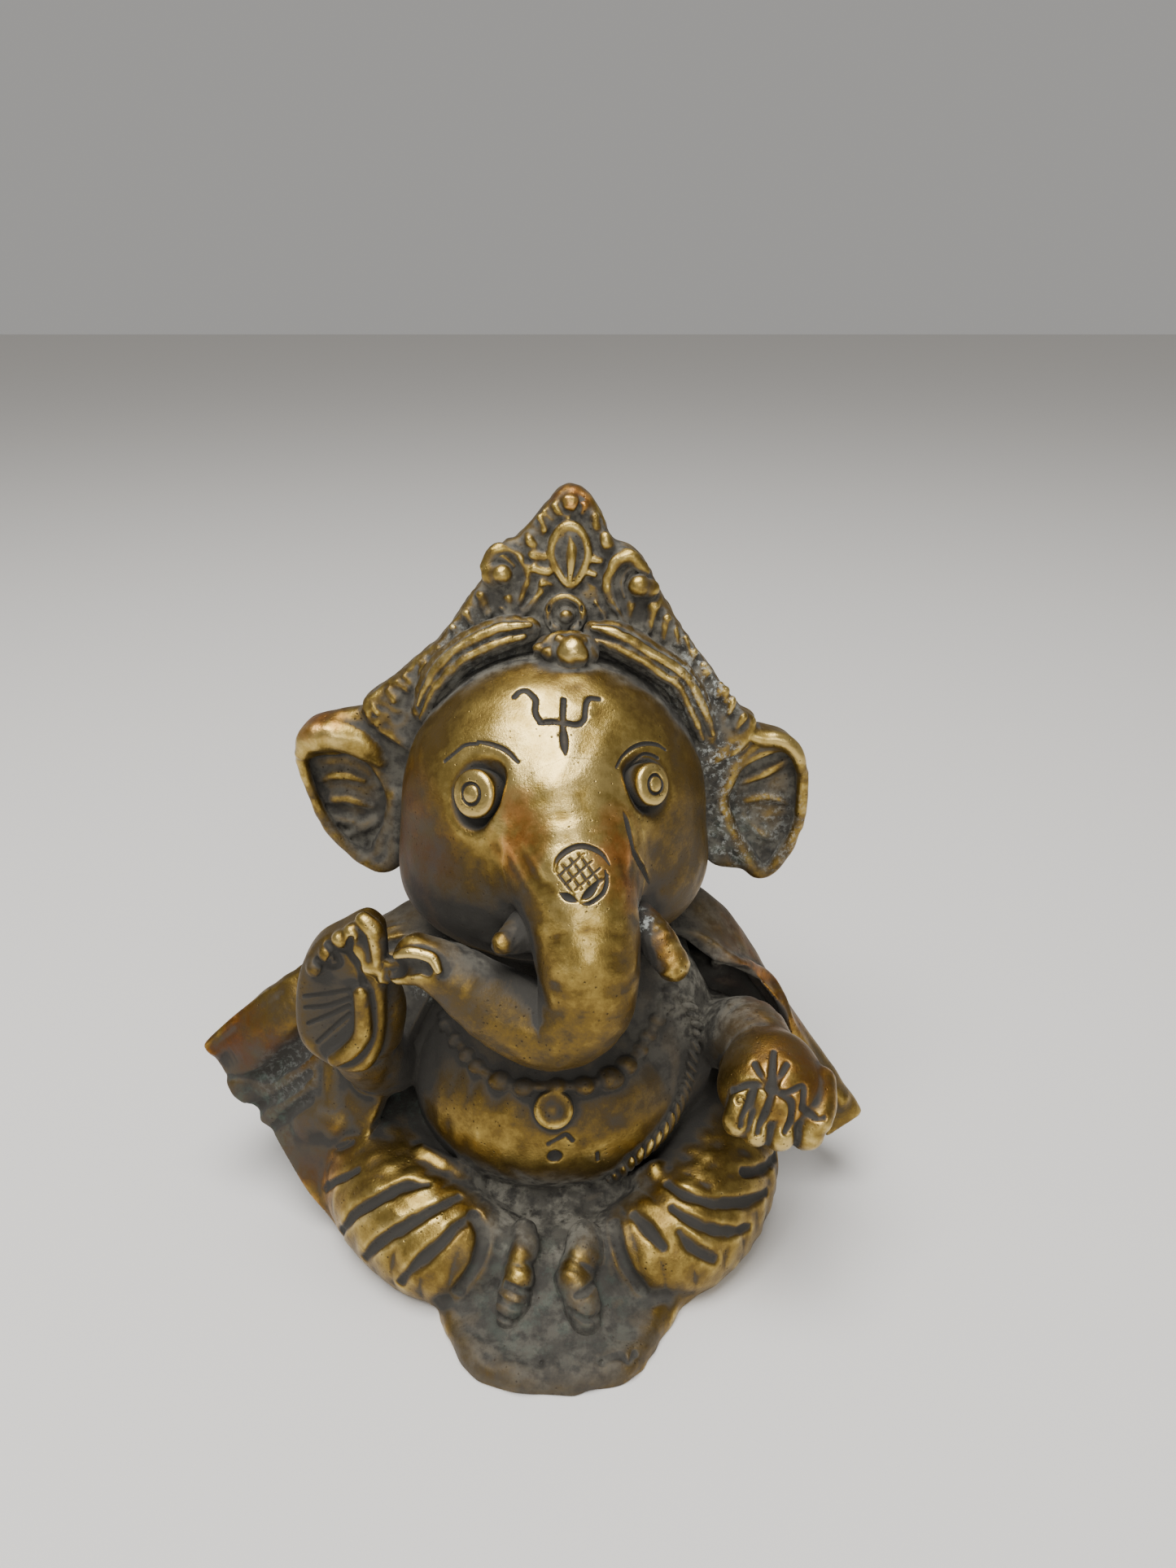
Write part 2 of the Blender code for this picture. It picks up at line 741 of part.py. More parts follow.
def build_idol():
    neck = build_neck()
    necklace = build_strand("necklace", NECKLACE_PATH)
    thread = build_strand("sacred_thread", THREAD_PATH)
    pendant = build_pendant()
    eye_right = build_eye("eye_right", EYE_RIGHT_CENTRE, EYE_RIGHT_RADIUS)
    eye_left = build_eye("eye_left", EYE_LEFT_CENTRE, EYE_LEFT_RADIUS)
    band_right = build_band("headband_right", BAND_RIGHT)
    band_left = build_band("headband_left", BAND_LEFT)
    brow = build_brow_ornament()
    jewel = build_boss("crown_jewel", 0.7, 92.4, (2.7, 1.7, 4.2))
    boss_right = build_boss("crown_boss_right", -7.9, 90.2, (1.5, 1.5, 1.5))
    boss_left = build_boss("crown_boss_left", 9.8, 88.7, (1.6, 1.6, 1.6))
    bead = build_boss("crown_bead", 0.3, 85.3, (1.0, 1.0, 1.0))
    arch = build_arch_ring()

    head = build_head()
    torso = build_torso()
    trunk = build_trunk()
    tusk_right = build_tusk("tusk_right", TUSK_RIGHT, TUSK_RIGHT_RADII)
    tusk_left = build_tusk("tusk_left", TUSK_LEFT, TUSK_LEFT_RADII)
    crown = build_crown()
    ear_right = build_ear("ear_right", EAR_RIGHT_OUTLINE, HOLLOW_RIGHT_CENTRE)
    ear_left = build_ear("ear_left", EAR_LEFT_OUTLINE, HOLLOW_LEFT_CENTRE)
    dhoti = build_dhoti()
    cloak = build_cloak()
    foot_right = build_foot("foot_right", FOOT_RIGHT)
    foot_left = build_foot("foot_left", FOOT_LEFT)
    arm_right = build_arm("arm_right", ARM_RIGHT, ARM_RIGHT_RADII)
    arm_left = build_arm("arm_left", ARM_LEFT, ARM_LEFT_RADII)
    hand_right = build_right_hand()
    hand_left = build_left_hand()
    bracelet = build_bracelet()
    web = build_web()

    whole = {obj.name: obj.data.copy() for obj in bpy.context.scene.objects}
    cut_all(pendant, [necklace], whole)
    cut_all(torso, [neck, necklace, thread, pendant], whole)
    cut_all(head, [neck, torso, eye_right, eye_left, band_right, band_left, brow], whole)
    cut_all(trunk, [head, torso, necklace], whole)
    cut_all(tusk_right, [head, trunk], whole)
    cut_all(tusk_left, [head, trunk], whole)
    cut_all(crown, [head, band_right, band_left, brow, jewel, boss_right, boss_left, bead, arch], whole)
    cut_all(ear_right, [head, crown], whole)
    cut_all(ear_left, [head, crown], whole)
    cut_all(arm_right, [hand_right, torso], whole)
    cut_all(bracelet, [hand_left], whole)
    cut_all(arm_left, [hand_left, torso, bracelet], whole)
    cut_all(web, [trunk, hand_right], whole)
    cut_all(dhoti, [torso, foot_right, foot_left, arm_right, thread], whole)
    cut_all(cloak, [torso, neck, head, arm_right, arm_left, dhoti, hand_right], whole)
    trim_underside(cloak, CLOAK_UNDERSIDE_Z)


clear_scene()
build_idol()
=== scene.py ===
"""Aged brass Ganesha idol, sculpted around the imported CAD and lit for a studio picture.

Each piece is a distance field: a function that gives how far points in space are from its surface, with
points inside below 0. Fields add up like clay: merge() joins them with a soft crease, and carve() cuts one
from another. Every piece then takes its share of the whole idol's field, so that neighbours meet with the
soft joins of a casting, and is turned into a mesh that is finest where the surface bends most.

Lengths are in millimetres until a mesh is made. Places are offsets from the middle of a CAD node's box.
Offsets (x, z) leave out the depth: a stroke along them is draped on the shape as the camera sees it.
"""

import math
from concurrent.futures import ThreadPoolExecutor
from functools import cache

import bpy
import numpy as np
import openvdb
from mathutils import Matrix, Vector


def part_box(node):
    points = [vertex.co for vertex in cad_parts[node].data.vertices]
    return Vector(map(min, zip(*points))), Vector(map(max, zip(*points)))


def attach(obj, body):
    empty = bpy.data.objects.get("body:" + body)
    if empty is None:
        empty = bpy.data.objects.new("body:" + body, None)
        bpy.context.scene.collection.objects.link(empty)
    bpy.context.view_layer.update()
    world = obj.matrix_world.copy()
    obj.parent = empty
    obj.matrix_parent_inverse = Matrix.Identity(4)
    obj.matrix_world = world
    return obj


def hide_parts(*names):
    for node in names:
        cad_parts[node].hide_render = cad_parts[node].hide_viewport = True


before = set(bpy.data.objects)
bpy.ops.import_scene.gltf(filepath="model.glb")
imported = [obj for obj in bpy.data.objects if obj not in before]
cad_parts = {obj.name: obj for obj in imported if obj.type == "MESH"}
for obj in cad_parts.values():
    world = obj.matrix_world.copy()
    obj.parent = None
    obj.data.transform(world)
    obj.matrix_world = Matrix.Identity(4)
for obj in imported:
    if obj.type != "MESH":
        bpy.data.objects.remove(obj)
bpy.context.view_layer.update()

MM = 0.001
EYE = np.array((3.0, -138.8, 127.0))  # where the camera stands
LOOK_DOWN = math.radians(24.3)
LENS = 27.03
SENSOR = 36.0

BLOCK = 8  # voxels along the side of a block that is sampled or skipped together
CHUNK = 150000  # points that are worked out together, which bounds the memory
REACH = 1.0  # how far a piece runs on under its neighbour
SINK = 0.4  # how steeply it dives there
NEAR = 1.5  # a shape's field is only worked out this near its box, unless it is widened
FAR_OFF = 1e9


# ---- fields ----


def length(v):
    return np.sqrt(np.einsum("ij,ij->i", v, v))


def soft_min(a, b, k):
    overlap = np.maximum(k - np.abs(a - b), 0.0)
    return np.minimum(a, b) - overlap * overlap / (4.0 * k)


def soft_max(a, b, k):
    return -soft_min(-a, -b, k)


class Shape:
    """A distance field and the box that holds its solid. Far from the box, it gives the distance to it."""

    def __init__(self, field, low, high, parts=()):
        self.field = field
        self.low = np.asarray(low, float)
        self.high = np.asarray(high, float)
        self.parts = parts
        self.far = NEAR
        self.marks = ()  # cutters for the finished surface

    def widen(self, far):
        """Makes the field exact up to this distance from the box."""
        if far > self.far:
            self.far = far
            for part in self.parts:
                part.widen(far)

    def __call__(self, points):
        gap = np.maximum(np.maximum(self.low - points, points - self.high), 0.0)
        found = length(gap)
        near = found < self.far
        if near.all():
            return self.field(points)
        if near.any():
            found[near] = self.field(points[near])
        return found


class Spot:
    """Turns offsets from the middle of a CAD node's box into places."""

    def __init__(self, node):
        low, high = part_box(node)
        self.middle = (np.array(low) + np.array(high)) / (2 * MM)

    def __call__(self, x, y, z):
        return self.middle + (x, y, z)

    def path(self, *offsets):
        return self.middle + np.array(offsets, float)

    def face(self, *offsets, y=0.0):
        """Offsets (x, z) in the upright plane through the middle, or in one that is y behind it."""
        return self.middle + np.array([(x, y, z) for x, z in offsets], float)

    def behind(self, *offsets, y):
        """Offsets (x, z) in that plane, moved y back along the camera's line of sight."""
        places = self.face(*offsets)
        away = places - EYE
        return places + away * (y / away[:, 1:2])


def spin(degrees):
    """Rotation matrix about Z."""
    c, s = math.cos(math.radians(degrees)), math.sin(math.radians(degrees))
    return np.array([(c, -s, 0.0), (s, c, 0.0), (0.0, 0.0, 1.0)])


def unit(v):
    return v / math.sqrt(v @ v)


def ball(centre, radii, turn=None):
    """An ellipsoid. turn's columns are its own axes."""
    radii = np.broadcast_to(np.asarray(radii, float), (3,))
    centre = np.asarray(centre, float)
    turn = np.eye(3) if turn is None else turn

    def field(points):
        local = (points - centre) @ turn
        near = length(local / radii)
        steep = np.maximum(length(local / radii**2), 1e-9)
        return near * (near - 1.0) / steep

    size = np.abs(turn) @ radii
    return Shape(field, centre - size, centre + size)


def smooth(stations, per=5, loop=False):
    """Catmull-Rom points through the rows of stations."""
    p = np.asarray(stations, float)
    if loop:
        p = np.vstack([p[-1:], p, p[:2]])
    else:
        p = np.vstack([2 * p[0] - p[1], p, 2 * p[-1] - p[-2]])
    t = (np.arange(per) / per)[:, None, None]
    a, b, c, d = (p[k : len(p) - 3 + k] for k in range(4))
    curve = 0.5 * (2 * b + (c - a) * t + (2 * a - 5 * b + 4 * c - d) * t**2 + (3 * b - a - 3 * c + d) * t**3)
    curve = curve.transpose(1, 0, 2).reshape(-1, p.shape[1])
    return curve if loop else np.vstack([curve, p[-2]])


def to_segment(points, a, b):
    """(how far along from a to b the nearest place is, as a share, and the distance to it)."""
    along = b - a
    t = np.clip((points - a) @ along / max(along @ along, 1e-12), 0.0, 1.0)
    return t, length(points - a - t[:, None] * along)


def tube(path, radii):
    """A round bar through the points, with round ends."""
    path = np.asarray(path, float)
    radii = np.broadcast_to(np.asarray(radii, float), (len(path),))

    def field(points):
        found = np.full(len(points), FAR_OFF)
        for a, b, r, s in zip(path, path[1:], radii, radii[1:]):
            t, off = to_segment(points, a, b)
            np.minimum(found, off - (r + (s - r) * t), out=found)
        return found

    rim = radii[:, None]
    return Shape(field, (path - rim).min(0), (path + rim).max(0))


def limb(stations, radii, per=5, loop=False):
    """A tube along a smooth curve through the stations."""
    radii = np.broadcast_to(np.asarray(radii, float), (len(stations),))
    curve = smooth(np.column_stack([stations, radii]), per, loop)
    if loop:
        curve = np.vstack([curve, curve[:1]])
    return tube(curve[:, :3], curve[:, 3])


def merge(*shapes, k=0.6):
    for shape in shapes:
        shape.widen(k + 0.5)

    def field(points):
        found = shapes[0](points)
        for shape in shapes[1:]:
            found = soft_min(found, shape(points), k)
        return found

    return Shape(field, np.min([s.low for s in shapes], 0), np.max([s.high for s in shapes], 0), shapes)


def carve(shape, *cutters, k=0.3):
    def field(points):
        found = shape(points)
        for cutter in cutters:
            found = soft_max(found, -cutter(points), k)
        return found

    return Shape(field, shape.low, shape.high, (shape,))


def above(shape, height):
    """The part of a shape over a level plane."""
    low = shape.low.copy()
    low[2] = max(low[2], height)
    return Shape(lambda p: soft_max(shape(p), height - p[:, 2], 0.3), low, shape.high, (shape,))


def waves(points, size, seed):
    """Smooth random swelling, about -1 to 1, that repeats over roughly this size."""
    rng = np.random.default_rng(seed)
    ways = rng.normal(size=(7, 3))
    ways *= (2 * math.pi / size * rng.uniform(0.6, 1.6, 7) / length(ways))[:, None]
    bent = points + 0.3 * size * np.sin(points[:, [1, 2, 0]] * (2.6 / size) + seed)
    return np.sin(bent @ ways.T + rng.uniform(0, 6.3, 7)).sum(1) / 3.7


def hammered(shape, depth=0.08, size=4.0, seed=1):
    """A shape with the slight swells of hand-worked wax."""
    low, high = shape.low - depth, shape.high + depth
    return Shape(lambda p: shape(p) + depth * waves(p, size, seed), low, high, (shape,))


class Outline:
    """Distance to a closed curve in a plane, looked up from a grid."""

    STEP = 0.25  # the grid's spacing
    MARGIN = 5.0  # how far the grid goes past the curve

    def __init__(self, stations, per=6):
        curve = smooth(stations, per, loop=True)
        self.low = curve.min(0) - self.MARGIN
        self.count = np.ceil((curve.max(0) + self.MARGIN - self.low) / self.STEP).astype(int) + 1
        u, v = [self.low[i] + self.STEP * np.arange(self.count[i]) for i in range(2)]
        p = np.stack(np.meshgrid(u, v, indexing="ij"), -1).reshape(-1, 2)
        near = np.full(len(p), FAR_OFF)
        inside = np.zeros(len(p), bool)
        for a, b in zip(curve, np.roll(curve, -1, 0)):
            near = np.minimum(near, to_segment(p, a, b)[1])
            along = b - a
            spans = (a[1] > p[:, 1]) != (b[1] > p[:, 1])
            rise = along[1] if along[1] else 1.0
            inside ^= spans & (p[:, 0] < a[0] + (p[:, 1] - a[1]) * along[0] / rise)
        self.grid = np.where(inside, -near, near).reshape(self.count)
        self.shape_low = curve.min(0)
        self.shape_high = curve.max(0)

    def __call__(self, u, v):
        x = np.clip((u - self.low[0]) / self.STEP, 0, self.count[0] - 1.001)
        y = np.clip((v - self.low[1]) / self.STEP, 0, self.count[1] - 1.001)
        i, j = x.astype(int), y.astype(int)
        x -= i
        y -= j
        g = self.grid
        low = g[i, j] * (1 - x) + g[i + 1, j] * x
        high = g[i, j + 1] * (1 - x) + g[i + 1, j + 1] * x
        return low * (1 - y) + high * y


def rounded(flat, depth, r):
    """Joins an outline's distance and a depth's distance with a rounded edge."""
    a, b = flat + r, depth + r
    return np.minimum(np.maximum(a, b), 0.0) + np.hypot(np.maximum(a, 0.0), np.maximum(b, 0.0)) - r


BOW_ROOM = 3.0  # how far a bow may move a plate


def plate(stations, front, back, r, axes=(0, 2), bow=None):
    """A slab in the plane of the axes, from front to back along the third one, which bow moves it along."""
    depth_axis = 3 - sum(axes)
    outline = Outline(np.asarray(stations)[:, list(axes)])
    middle, half = (front + back) / 2, (back - front) / 2

    def field(points):
        deep = points[:, depth_axis] - middle
        if bow:
            deep = deep - bow(points)
        flat = outline(points[:, axes[0]], points[:, axes[1]])
        return rounded(flat, np.abs(deep) - half, r)

    low, high = np.zeros(3), np.zeros(3)
    low[list(axes)], high[list(axes)] = outline.shape_low, outline.shape_high
    room = BOW_ROOM if bow else 0.0
    low[depth_axis], high[depth_axis] = front - room, back + room
    return Shape(field, low, high)


RUN_UP = 40.0  # how far in front of its aim a draped point starts
DRAPE_STEPS = 70
LONGEST_STEP = 4.0
CAUTION = 0.85  # the share of the gap to the shape that one step takes


def drape(shape, points):
    """Slides points along the camera's line of sight to where they are on the shape, or nearest to it."""
    points = np.asarray(points, float)
    away = points - EYE
    away /= length(away)[:, None]
    at = points - away * RUN_UP
    best, least = at, np.full(len(at), FAR_OFF)
    for _ in range(DRAPE_STEPS):
        gap = shape(at)
        closer = np.abs(gap) < least
        best = np.where(closer[:, None], at, best)
        least = np.where(closer, np.abs(gap), least)
        at = at + away * (np.clip(gap, -1.0, LONGEST_STEP) * CAUTION)[:, None]
    _, slope, _ = gradient(shape, best, 0.1)
    return best - slope * shape(best)[:, None]


def stroke(shape, stations, radii, lift=0.0):
    """A tube that follows the shape's surface. lift raises it towards the camera."""
    radii = np.broadcast_to(np.asarray(radii, float), (len(stations),))
    curve = smooth(np.column_stack([stations, radii]))
    at = drape(shape, curve[:, :3])
    toward = EYE - at
    at = at + toward / length(toward)[:, None] * lift
    return tube(at, curve[:, 3])


def strokes(shape, at, rows, lift=0.0):
    """A stroke for each row: its path of offsets (x, z) from a spot, and its radii."""
    return [stroke(shape, at.face(*path), radii, lift) for path, radii in rows]


def gradient(shape, points, step):
    """(values, slopes, Laplacians) of the field, from one sample at each point and four round it."""
    corners = np.array([(1, -1, -1), (-1, -1, 1), (-1, 1, -1), (1, 1, 1)], float)
    middle = shape(points)
    samples = [shape(points + corner * step) for corner in corners]
    slope = sum(s[:, None] * corner for s, corner in zip(samples, corners)) / (4 * step)
    bend = 6.0 * (sum(samples) / 4.0 - middle) / (3 * step**2)
    return middle, slope, bend


# ---- body ----


def belly():
    return ball(Spot("torso")(0, -1.2, -4.6), (19.4, 17.2, 15.6))


@cache
def torso():
    at = Spot("torso")
    chest = ball(at(0.9, 4.1, 8.7), (17, 13, 10))
    shoulders = ball(at(0.9, 6.1, 12.2), (18.5, 8.5, 5.5))
    flank = ball(at(13.4, 1.1, -0.8), (10.3, 10.0, 17.0))
    body = merge(merge(belly(), chest, shoulders, k=3.0), flank, k=1.2)
    navel = ball(drape(body, at.face((0.4, -22.1)))[0], 0.95)
    knot = stroke(body, at.face((-0.5, -19.7), (1.0, -18.6), (2.2, -17.8), (3.1, -19.0)), 0.22)
    nick = stroke(body, at.face((6.8, -21.3), (6.9, -22.7)), 0.2)
    return carve(hammered(body, 0.12, 6.0, 3), cloak_cave(CAVE_DEPTHS[0]), navel, knot, nick)


LEG_RADII = (8.5, 9.4, 9.6, 8.4, 5.2)  # from the hip, round the knee, to the ankle
WIDE_FOLD = (0.45, 0.75, 0.85, 0.75, 0.4)
FINE_FOLD = (0.3, 0.55, 0.35)


def leg(stations, folds):
    """A bent leg under cloth, with folds cut into it."""
    at = Spot("dhoti_base")
    bare = limb(at.path(*stations), LEG_RADII)
    return carve(bare, *strokes(bare, at, folds, lift=0.15), k=0.7)


def leg_right():
    return leg(
        (
            (-12.7, 14.1, -0.7), (-21.2, 7.1, -0.9), (-22.5, -2.5, -2.3), (-15.1, -12.3, -3.1),
            (-5.7, -15.4, -4.1),
        ),
        (
            (((-34.1, -0.7), (-31.2, 0.9), (-28.5, 2.3)), FINE_FOLD),
            (((-33.8, -6.8), (-31.0, -4.8), (-28.4, -3.1)), FINE_FOLD),
            (((-31.8, -15.4), (-29.4, -11.6), (-26.0, -8.9), (-21.9, -6.2), (-18.2, -5.6)), WIDE_FOLD),
            (((-28.6, -20.4), (-26.0, -17.0), (-22.0, -13.8), (-17.6, -10.6), (-13.7, -7.9)), WIDE_FOLD),
            (((-23.6, -25.6), (-20.8, -21.8), (-17.6, -18.2), (-14.6, -14.4), (-11.6, -11.4)), WIDE_FOLD),
            (((-14.6, -27.4), (-12.4, -23.4), (-11.2, -20.0), (-10.4, -15.4), (-11.4, -11.8)), 0.8),
        ),
    )


def leg_left():
    return leg(
        ((14.3, 14.1, -0.7), (21.8, 7.1, -0.5), (22.7, -1.5, -2.1), (17.3, -11.5, -3.1), (8.3, -14.9, -4.1)),
        (
            (((32.6, -0.6), (31.2, -2.6), (30.0, -3.2), (28.1, -3.3)), 0.7),
            (((16.8, -5.6), (20.6, -8.0), (25.0, -9.3), (29.2, -9.0), (31.6, -7.4)), WIDE_FOLD),
            (((17.8, -10.2), (20.6, -12.4), (24.0, -14.4), (27.0, -15.0), (29.4, -14.2)), WIDE_FOLD),
            (((12.0, -11.5), (14.1, -14.2), (16.5, -17.9)), (0.5, 0.85, 0.5)),
            (((19.2, -15.0), (21.4, -18.3), (24.6, -20.6)), (0.5, 0.9, 0.6)),
            (((9.0, -13.4), (9.8, -18.0), (11.4, -23.0), (14.0, -27.6)), 0.7),
        ),
    )


def apron():
    """The flat cloth under the feet, with its scalloped front edge."""
    at = Spot("dhoti_base")
    cloth = plate(
        at.path(
            (-14.2, -13.0, 0), (-14.0, -21.0, 0), (-12.3, -25.2, 0), (-10.4, -28.6, 0), (-8.1, -30.9, 0),
            (-4.6, -32.1, 0), (0.6, -32.7, 0), (6.2, -32.1, 0), (10.1, -30.8, 0), (12.5, -28.3, 0),
            (14.9, -24.2, 0), (17.2, -20.4, 0), (19.4, -14.8, 0), (6, -6, 0),
        ),
        -3.0,
        2.9,
        1.9,
        axes=(0, 1),
    )
    tucks = (
        (((-6.2, -40.5), (-3.3, -39.8), (-1.9, -43.2)), 0.3),
        (((5.9, -45.3), (7.9, -41.8), (10.3, -40.8)), 0.3),
        (((10.4, -40.8), (11.8, -42.5), (12.7, -40.5)), 0.3),
    )
    return hammered(carve(cloth, *strokes(cloth, at, tucks), k=0.6), 0.2, 6.0, 41)


@cache
def dhoti():
    at = Spot("dhoti_base")
    seat = ball(at(0.3, 10.1, -4.7), (24, 22, 9))
    legs = merge(leg_right(), leg_left(), seat, k=2.0)
    bank = stroke(
        merge(legs, belly(), k=0.5),
        at.face(
            (-18.5, 0.5), (-15.6, -1.8), (-11.5, -4.8), (-5.4, -7.9), (1.4, -8.8), (8.1, -7.1), (14.8, -3.2)
        ),
        (0.8, 1.15, 1.15, 1.15, 1.25, 1.6, 1.3),
    )
    lap = ball(at(0.8, -10.4, -10.7), (13.5, 16.5, 10.7))
    body = merge(merge(legs, merge(lap, apron(), k=4.0), k=1.4), bank, k=1.5)
    return above(hammered(body, 0.12, 5.0, 5), 0.0)


def foot(node, way, radii, swells, sizes, slits):
    """A foot in relief on the cloth of the lap, with swells along it and slits between the toes."""
    at = Spot(node)
    ground = merge(dhoti(), k=0.5)
    lumps = [ball(p + (0, -1.0, 0.7), size) for p, size in zip(drape(ground, at.face(*swells)), sizes)]
    body = merge(stroke(ground, at.face(*way), radii, lift=0.7), *lumps, k=0.6)
    return above(carve(hammered(body, 0.1, 3.0, 17), *strokes(body, at, slits), k=0.4), 0.3)


def foot_right():
    return foot(
        "foot_right",
        ((0.7, 6.0), (0.7, 3.4), (-0.1, 0.8), (-0.5, -2.0), (-0.9, -5.0), (-1.8, -8.6)),
        (1.7, 1.9, 1.6, 1.8, 2.1, 1.5),
        ((-0.1, -1.6), (-1.0, -6.0)),
        (2.0, 1.9),
        (
            (((-2.0, -3.2), (-1.1, -3.7), (0.1, -4.4), (1.7, -4.1)), 0.32),
            (((-3.2, -5.5), (-1.6, -7.0), (0.4, -7.6)), 0.4),
            (((-3.6, -8.2), (-2.1, -9.8), (-0.3, -10.1)), 0.3),
        ),
    )


def foot_left():
    return foot(
        "foot_left",
        ((1.0, 5.2), (0.9, 2.6), (0.2, 0.2), (0.2, -2.4), (0.6, -6.0), (1.3, -9.6)),
        (2.2, 2.5, 2.3, 2.2, 2.3, 1.6),
        ((-0.4, -1.8), (1.0, -6.4)),
        (2.3, 2.0),
        (
            (((0.0, -5.0), (1.2, -4.3), (2.8, -2.2)), (0.3, 0.5, 0.3)),
            (((-1.2, -7.6), (1.4, -9.4), (3.4, -8.4)), 0.32),
        ),
    )


# ---- cloak ----

CLOAK_WALL = 2.4
CLOAK_VOXEL = 0.4
CLOAK_BAND = 9  # voxels on either side of the surface
CLOAK_ROWS = 40  # steps from the neck down to the hem
PLEATS = ((0.9, 11, 0.0), (0.5, 23, 1.0))  # height, how many there are in a full turn, phase
PLEATS_START = 12.0  # how far behind the middle the pleats have their full height
CAVE_DEPTHS = (-5.4, -8.4, -11.2)  # the cloth's edge hangs in front of the hollow, so it is cut there too


@cache
def cloak_sheet():
    """Rows of points from neck to hem, which go from the right front, round the back, to the left front."""
    at = Spot("cloak")
    lines = (
        ((-12.8, -10.3, 14.4), (-20.8, -16.3, 3.4), (-27.8, -20.8, -21.4)),
        ((-12.8, -8.8, 15.4), (-23.8, -13.2, 7.0), (-33.0, -17.5, -17.0)),
        ((-12.8, -7.3, 16.4), (-26.8, -10.4, 10.4), (-37.4, -13.3, -12.6)),
        ((-12.6, -6.6, 17.0), (-27.6, -7.4, 12.6), (-41.4, -9.2, -9.0)),
        ((-12.4, -6.0, 17.8), (-29.4, -9.6, 15.0), (-44.6, -9.8, -5.6)),
        ((-12.2, -5.4, 18.2), (-29.6, -5.2, 16.2), (-46.4, -6.2, -3.2)),
        ((-12.0, -4.8, 18.6), (-30.0, -7.2, 17.8), (-47.6, -7.0, -1.4)),
        ((-11.8, -4.3, 18.9), (-29.8, -3.6, 18.9), (-47.8, -5.6, -0.4)),
        ((-9.8, 0.7, 21.4), (-28.8, 4.7, 20.4), (-37.8, 6.7, -14.6)),
        ((-4.8, 5.7, 21.9), (-15.8, 14.7, 17.4), (-20.8, 16.7, -21.0)),
        ((2.7, 7.7, 22.4), (2.7, 17.7, 17.4), (2.7, 20.2, -21.4)),
        ((11.2, 5.7, 21.8), (22.2, 13.2, 21.4), (26.2, 15.7, -21.0)),
        ((16.2, 0.7, 22.0), (31.2, 5.2, 26.0), (38.2, 4.7, -18.6)),
        ((18.2, -4.3, 20.8), (28.0, -2.9, 20.0), (47.7, -7.3, -11.0)),
        ((18.7, -6.4, 19.0), (29.6, -8.4, 22.2), (42.2, -10.7, -13.6)),
    )
    tracks = [smooth([at(*line[k]) for line in lines], 8) for k in range(3)]
    t = np.linspace(0, 1, CLOAK_ROWS)[None, :, None]
    neck, over, hem = (track[:, None, :] for track in tracks)
    rows = neck * (1 - t) ** 2 + 2 * over * t * (1 - t) + hem * t**2
    behind = np.clip((rows[..., 1] - at.middle[1]) / PLEATS_START, 0, 1)
    turn = np.arctan2(rows[..., 0] - Spot("torso").middle[0], rows[..., 1])
    wave = sum(height * np.sin(count * turn + phase) for height, count, phase in PLEATS)
    pleat = behind * t[..., 0] ** 1.5 * wave
    return rows + pleat[..., None] * np.stack([np.sin(turn), np.cos(turn), 0 * turn], -1)


def sheet_mesh(rows, wall):
    """Points and triangles of a closed sheet: the rows, and the same again one wall thickness inwards."""
    across = np.gradient(rows, axis=0)
    down = np.gradient(rows, axis=1)
    normal = np.cross(across, down)
    normal /= np.maximum(np.linalg.norm(normal, axis=2, keepdims=True), 1e-9)
    outward = rows - Spot("torso").middle
    normal *= np.sign((normal * outward).sum())
    n, m = rows.shape[:2]
    points = np.concatenate([rows.reshape(-1, 3), (rows - normal * wall).reshape(-1, 3)])
    index = np.arange(n * m).reshape(n, m)
    a, b, c, d = index[:-1, :-1], index[1:, :-1], index[1:, 1:], index[:-1, 1:]
    quads = np.stack([a, b, c, d], -1).reshape(-1, 4)
    ring = np.concatenate([index[0, :-1], index[:-1, -1], index[-1, :0:-1], index[:0:-1, 0]])
    after = np.roll(ring, -1)
    sides = np.stack([ring, after, after + n * m, ring + n * m], -1)
    quads = np.concatenate([quads, quads[:, ::-1] + n * m, sides])
    return points, np.concatenate([quads[:, [0, 1, 2]], quads[:, [0, 2, 3]]])


def level_set(points, triangles, voxel, band):
    """(lowest corner, values) of the distance to a closed mesh on a grid."""
    grid = openvdb.FloatGrid.createLevelSetFromPolygons(
        points.astype(np.float32),
        triangles=triangles.astype(np.uint32),
        transform=openvdb.createLinearTransform(voxel),
        halfWidth=float(band),
    )
    first, last = grid.evalActiveVoxelBoundingBox()
    values = np.zeros([last[i] - first[i] + 1 for i in range(3)], np.float32)
    grid.copyToArray(values, ijk=first)
    return np.array(first) * voxel, values


def trilinear(values, places):
    """Values between grid points. places are in voxels."""
    top = np.array(values.shape) - 1.001
    places = np.clip(places, 0, top)
    i = places.astype(int)
    f = places - i
    x, y, z = i.T
    fx, fy, fz = f.T
    found = 0.0
    for dx in (0, 1):
        for dy in (0, 1):
            for dz in (0, 1):
                share = (fx if dx else 1 - fx) * (fy if dy else 1 - fy) * (fz if dz else 1 - fz)
                found = found + share * values[x + dx, y + dy, z + dz]
    return found


@cache
def cloak_cloth():
    rows = cloak_sheet()
    low, values = level_set(*sheet_mesh(rows, CLOAK_WALL), CLOAK_VOXEL, CLOAK_BAND)
    for axis in range(3):
        values = (np.roll(values, 1, axis) + 2 * values + np.roll(values, -1, axis)) / 4
    flat = rows.reshape(-1, 3)
    return Shape(lambda p: trilinear(values, (p - low) / CLOAK_VOXEL), flat.min(0) - 1, flat.max(0) + 1)


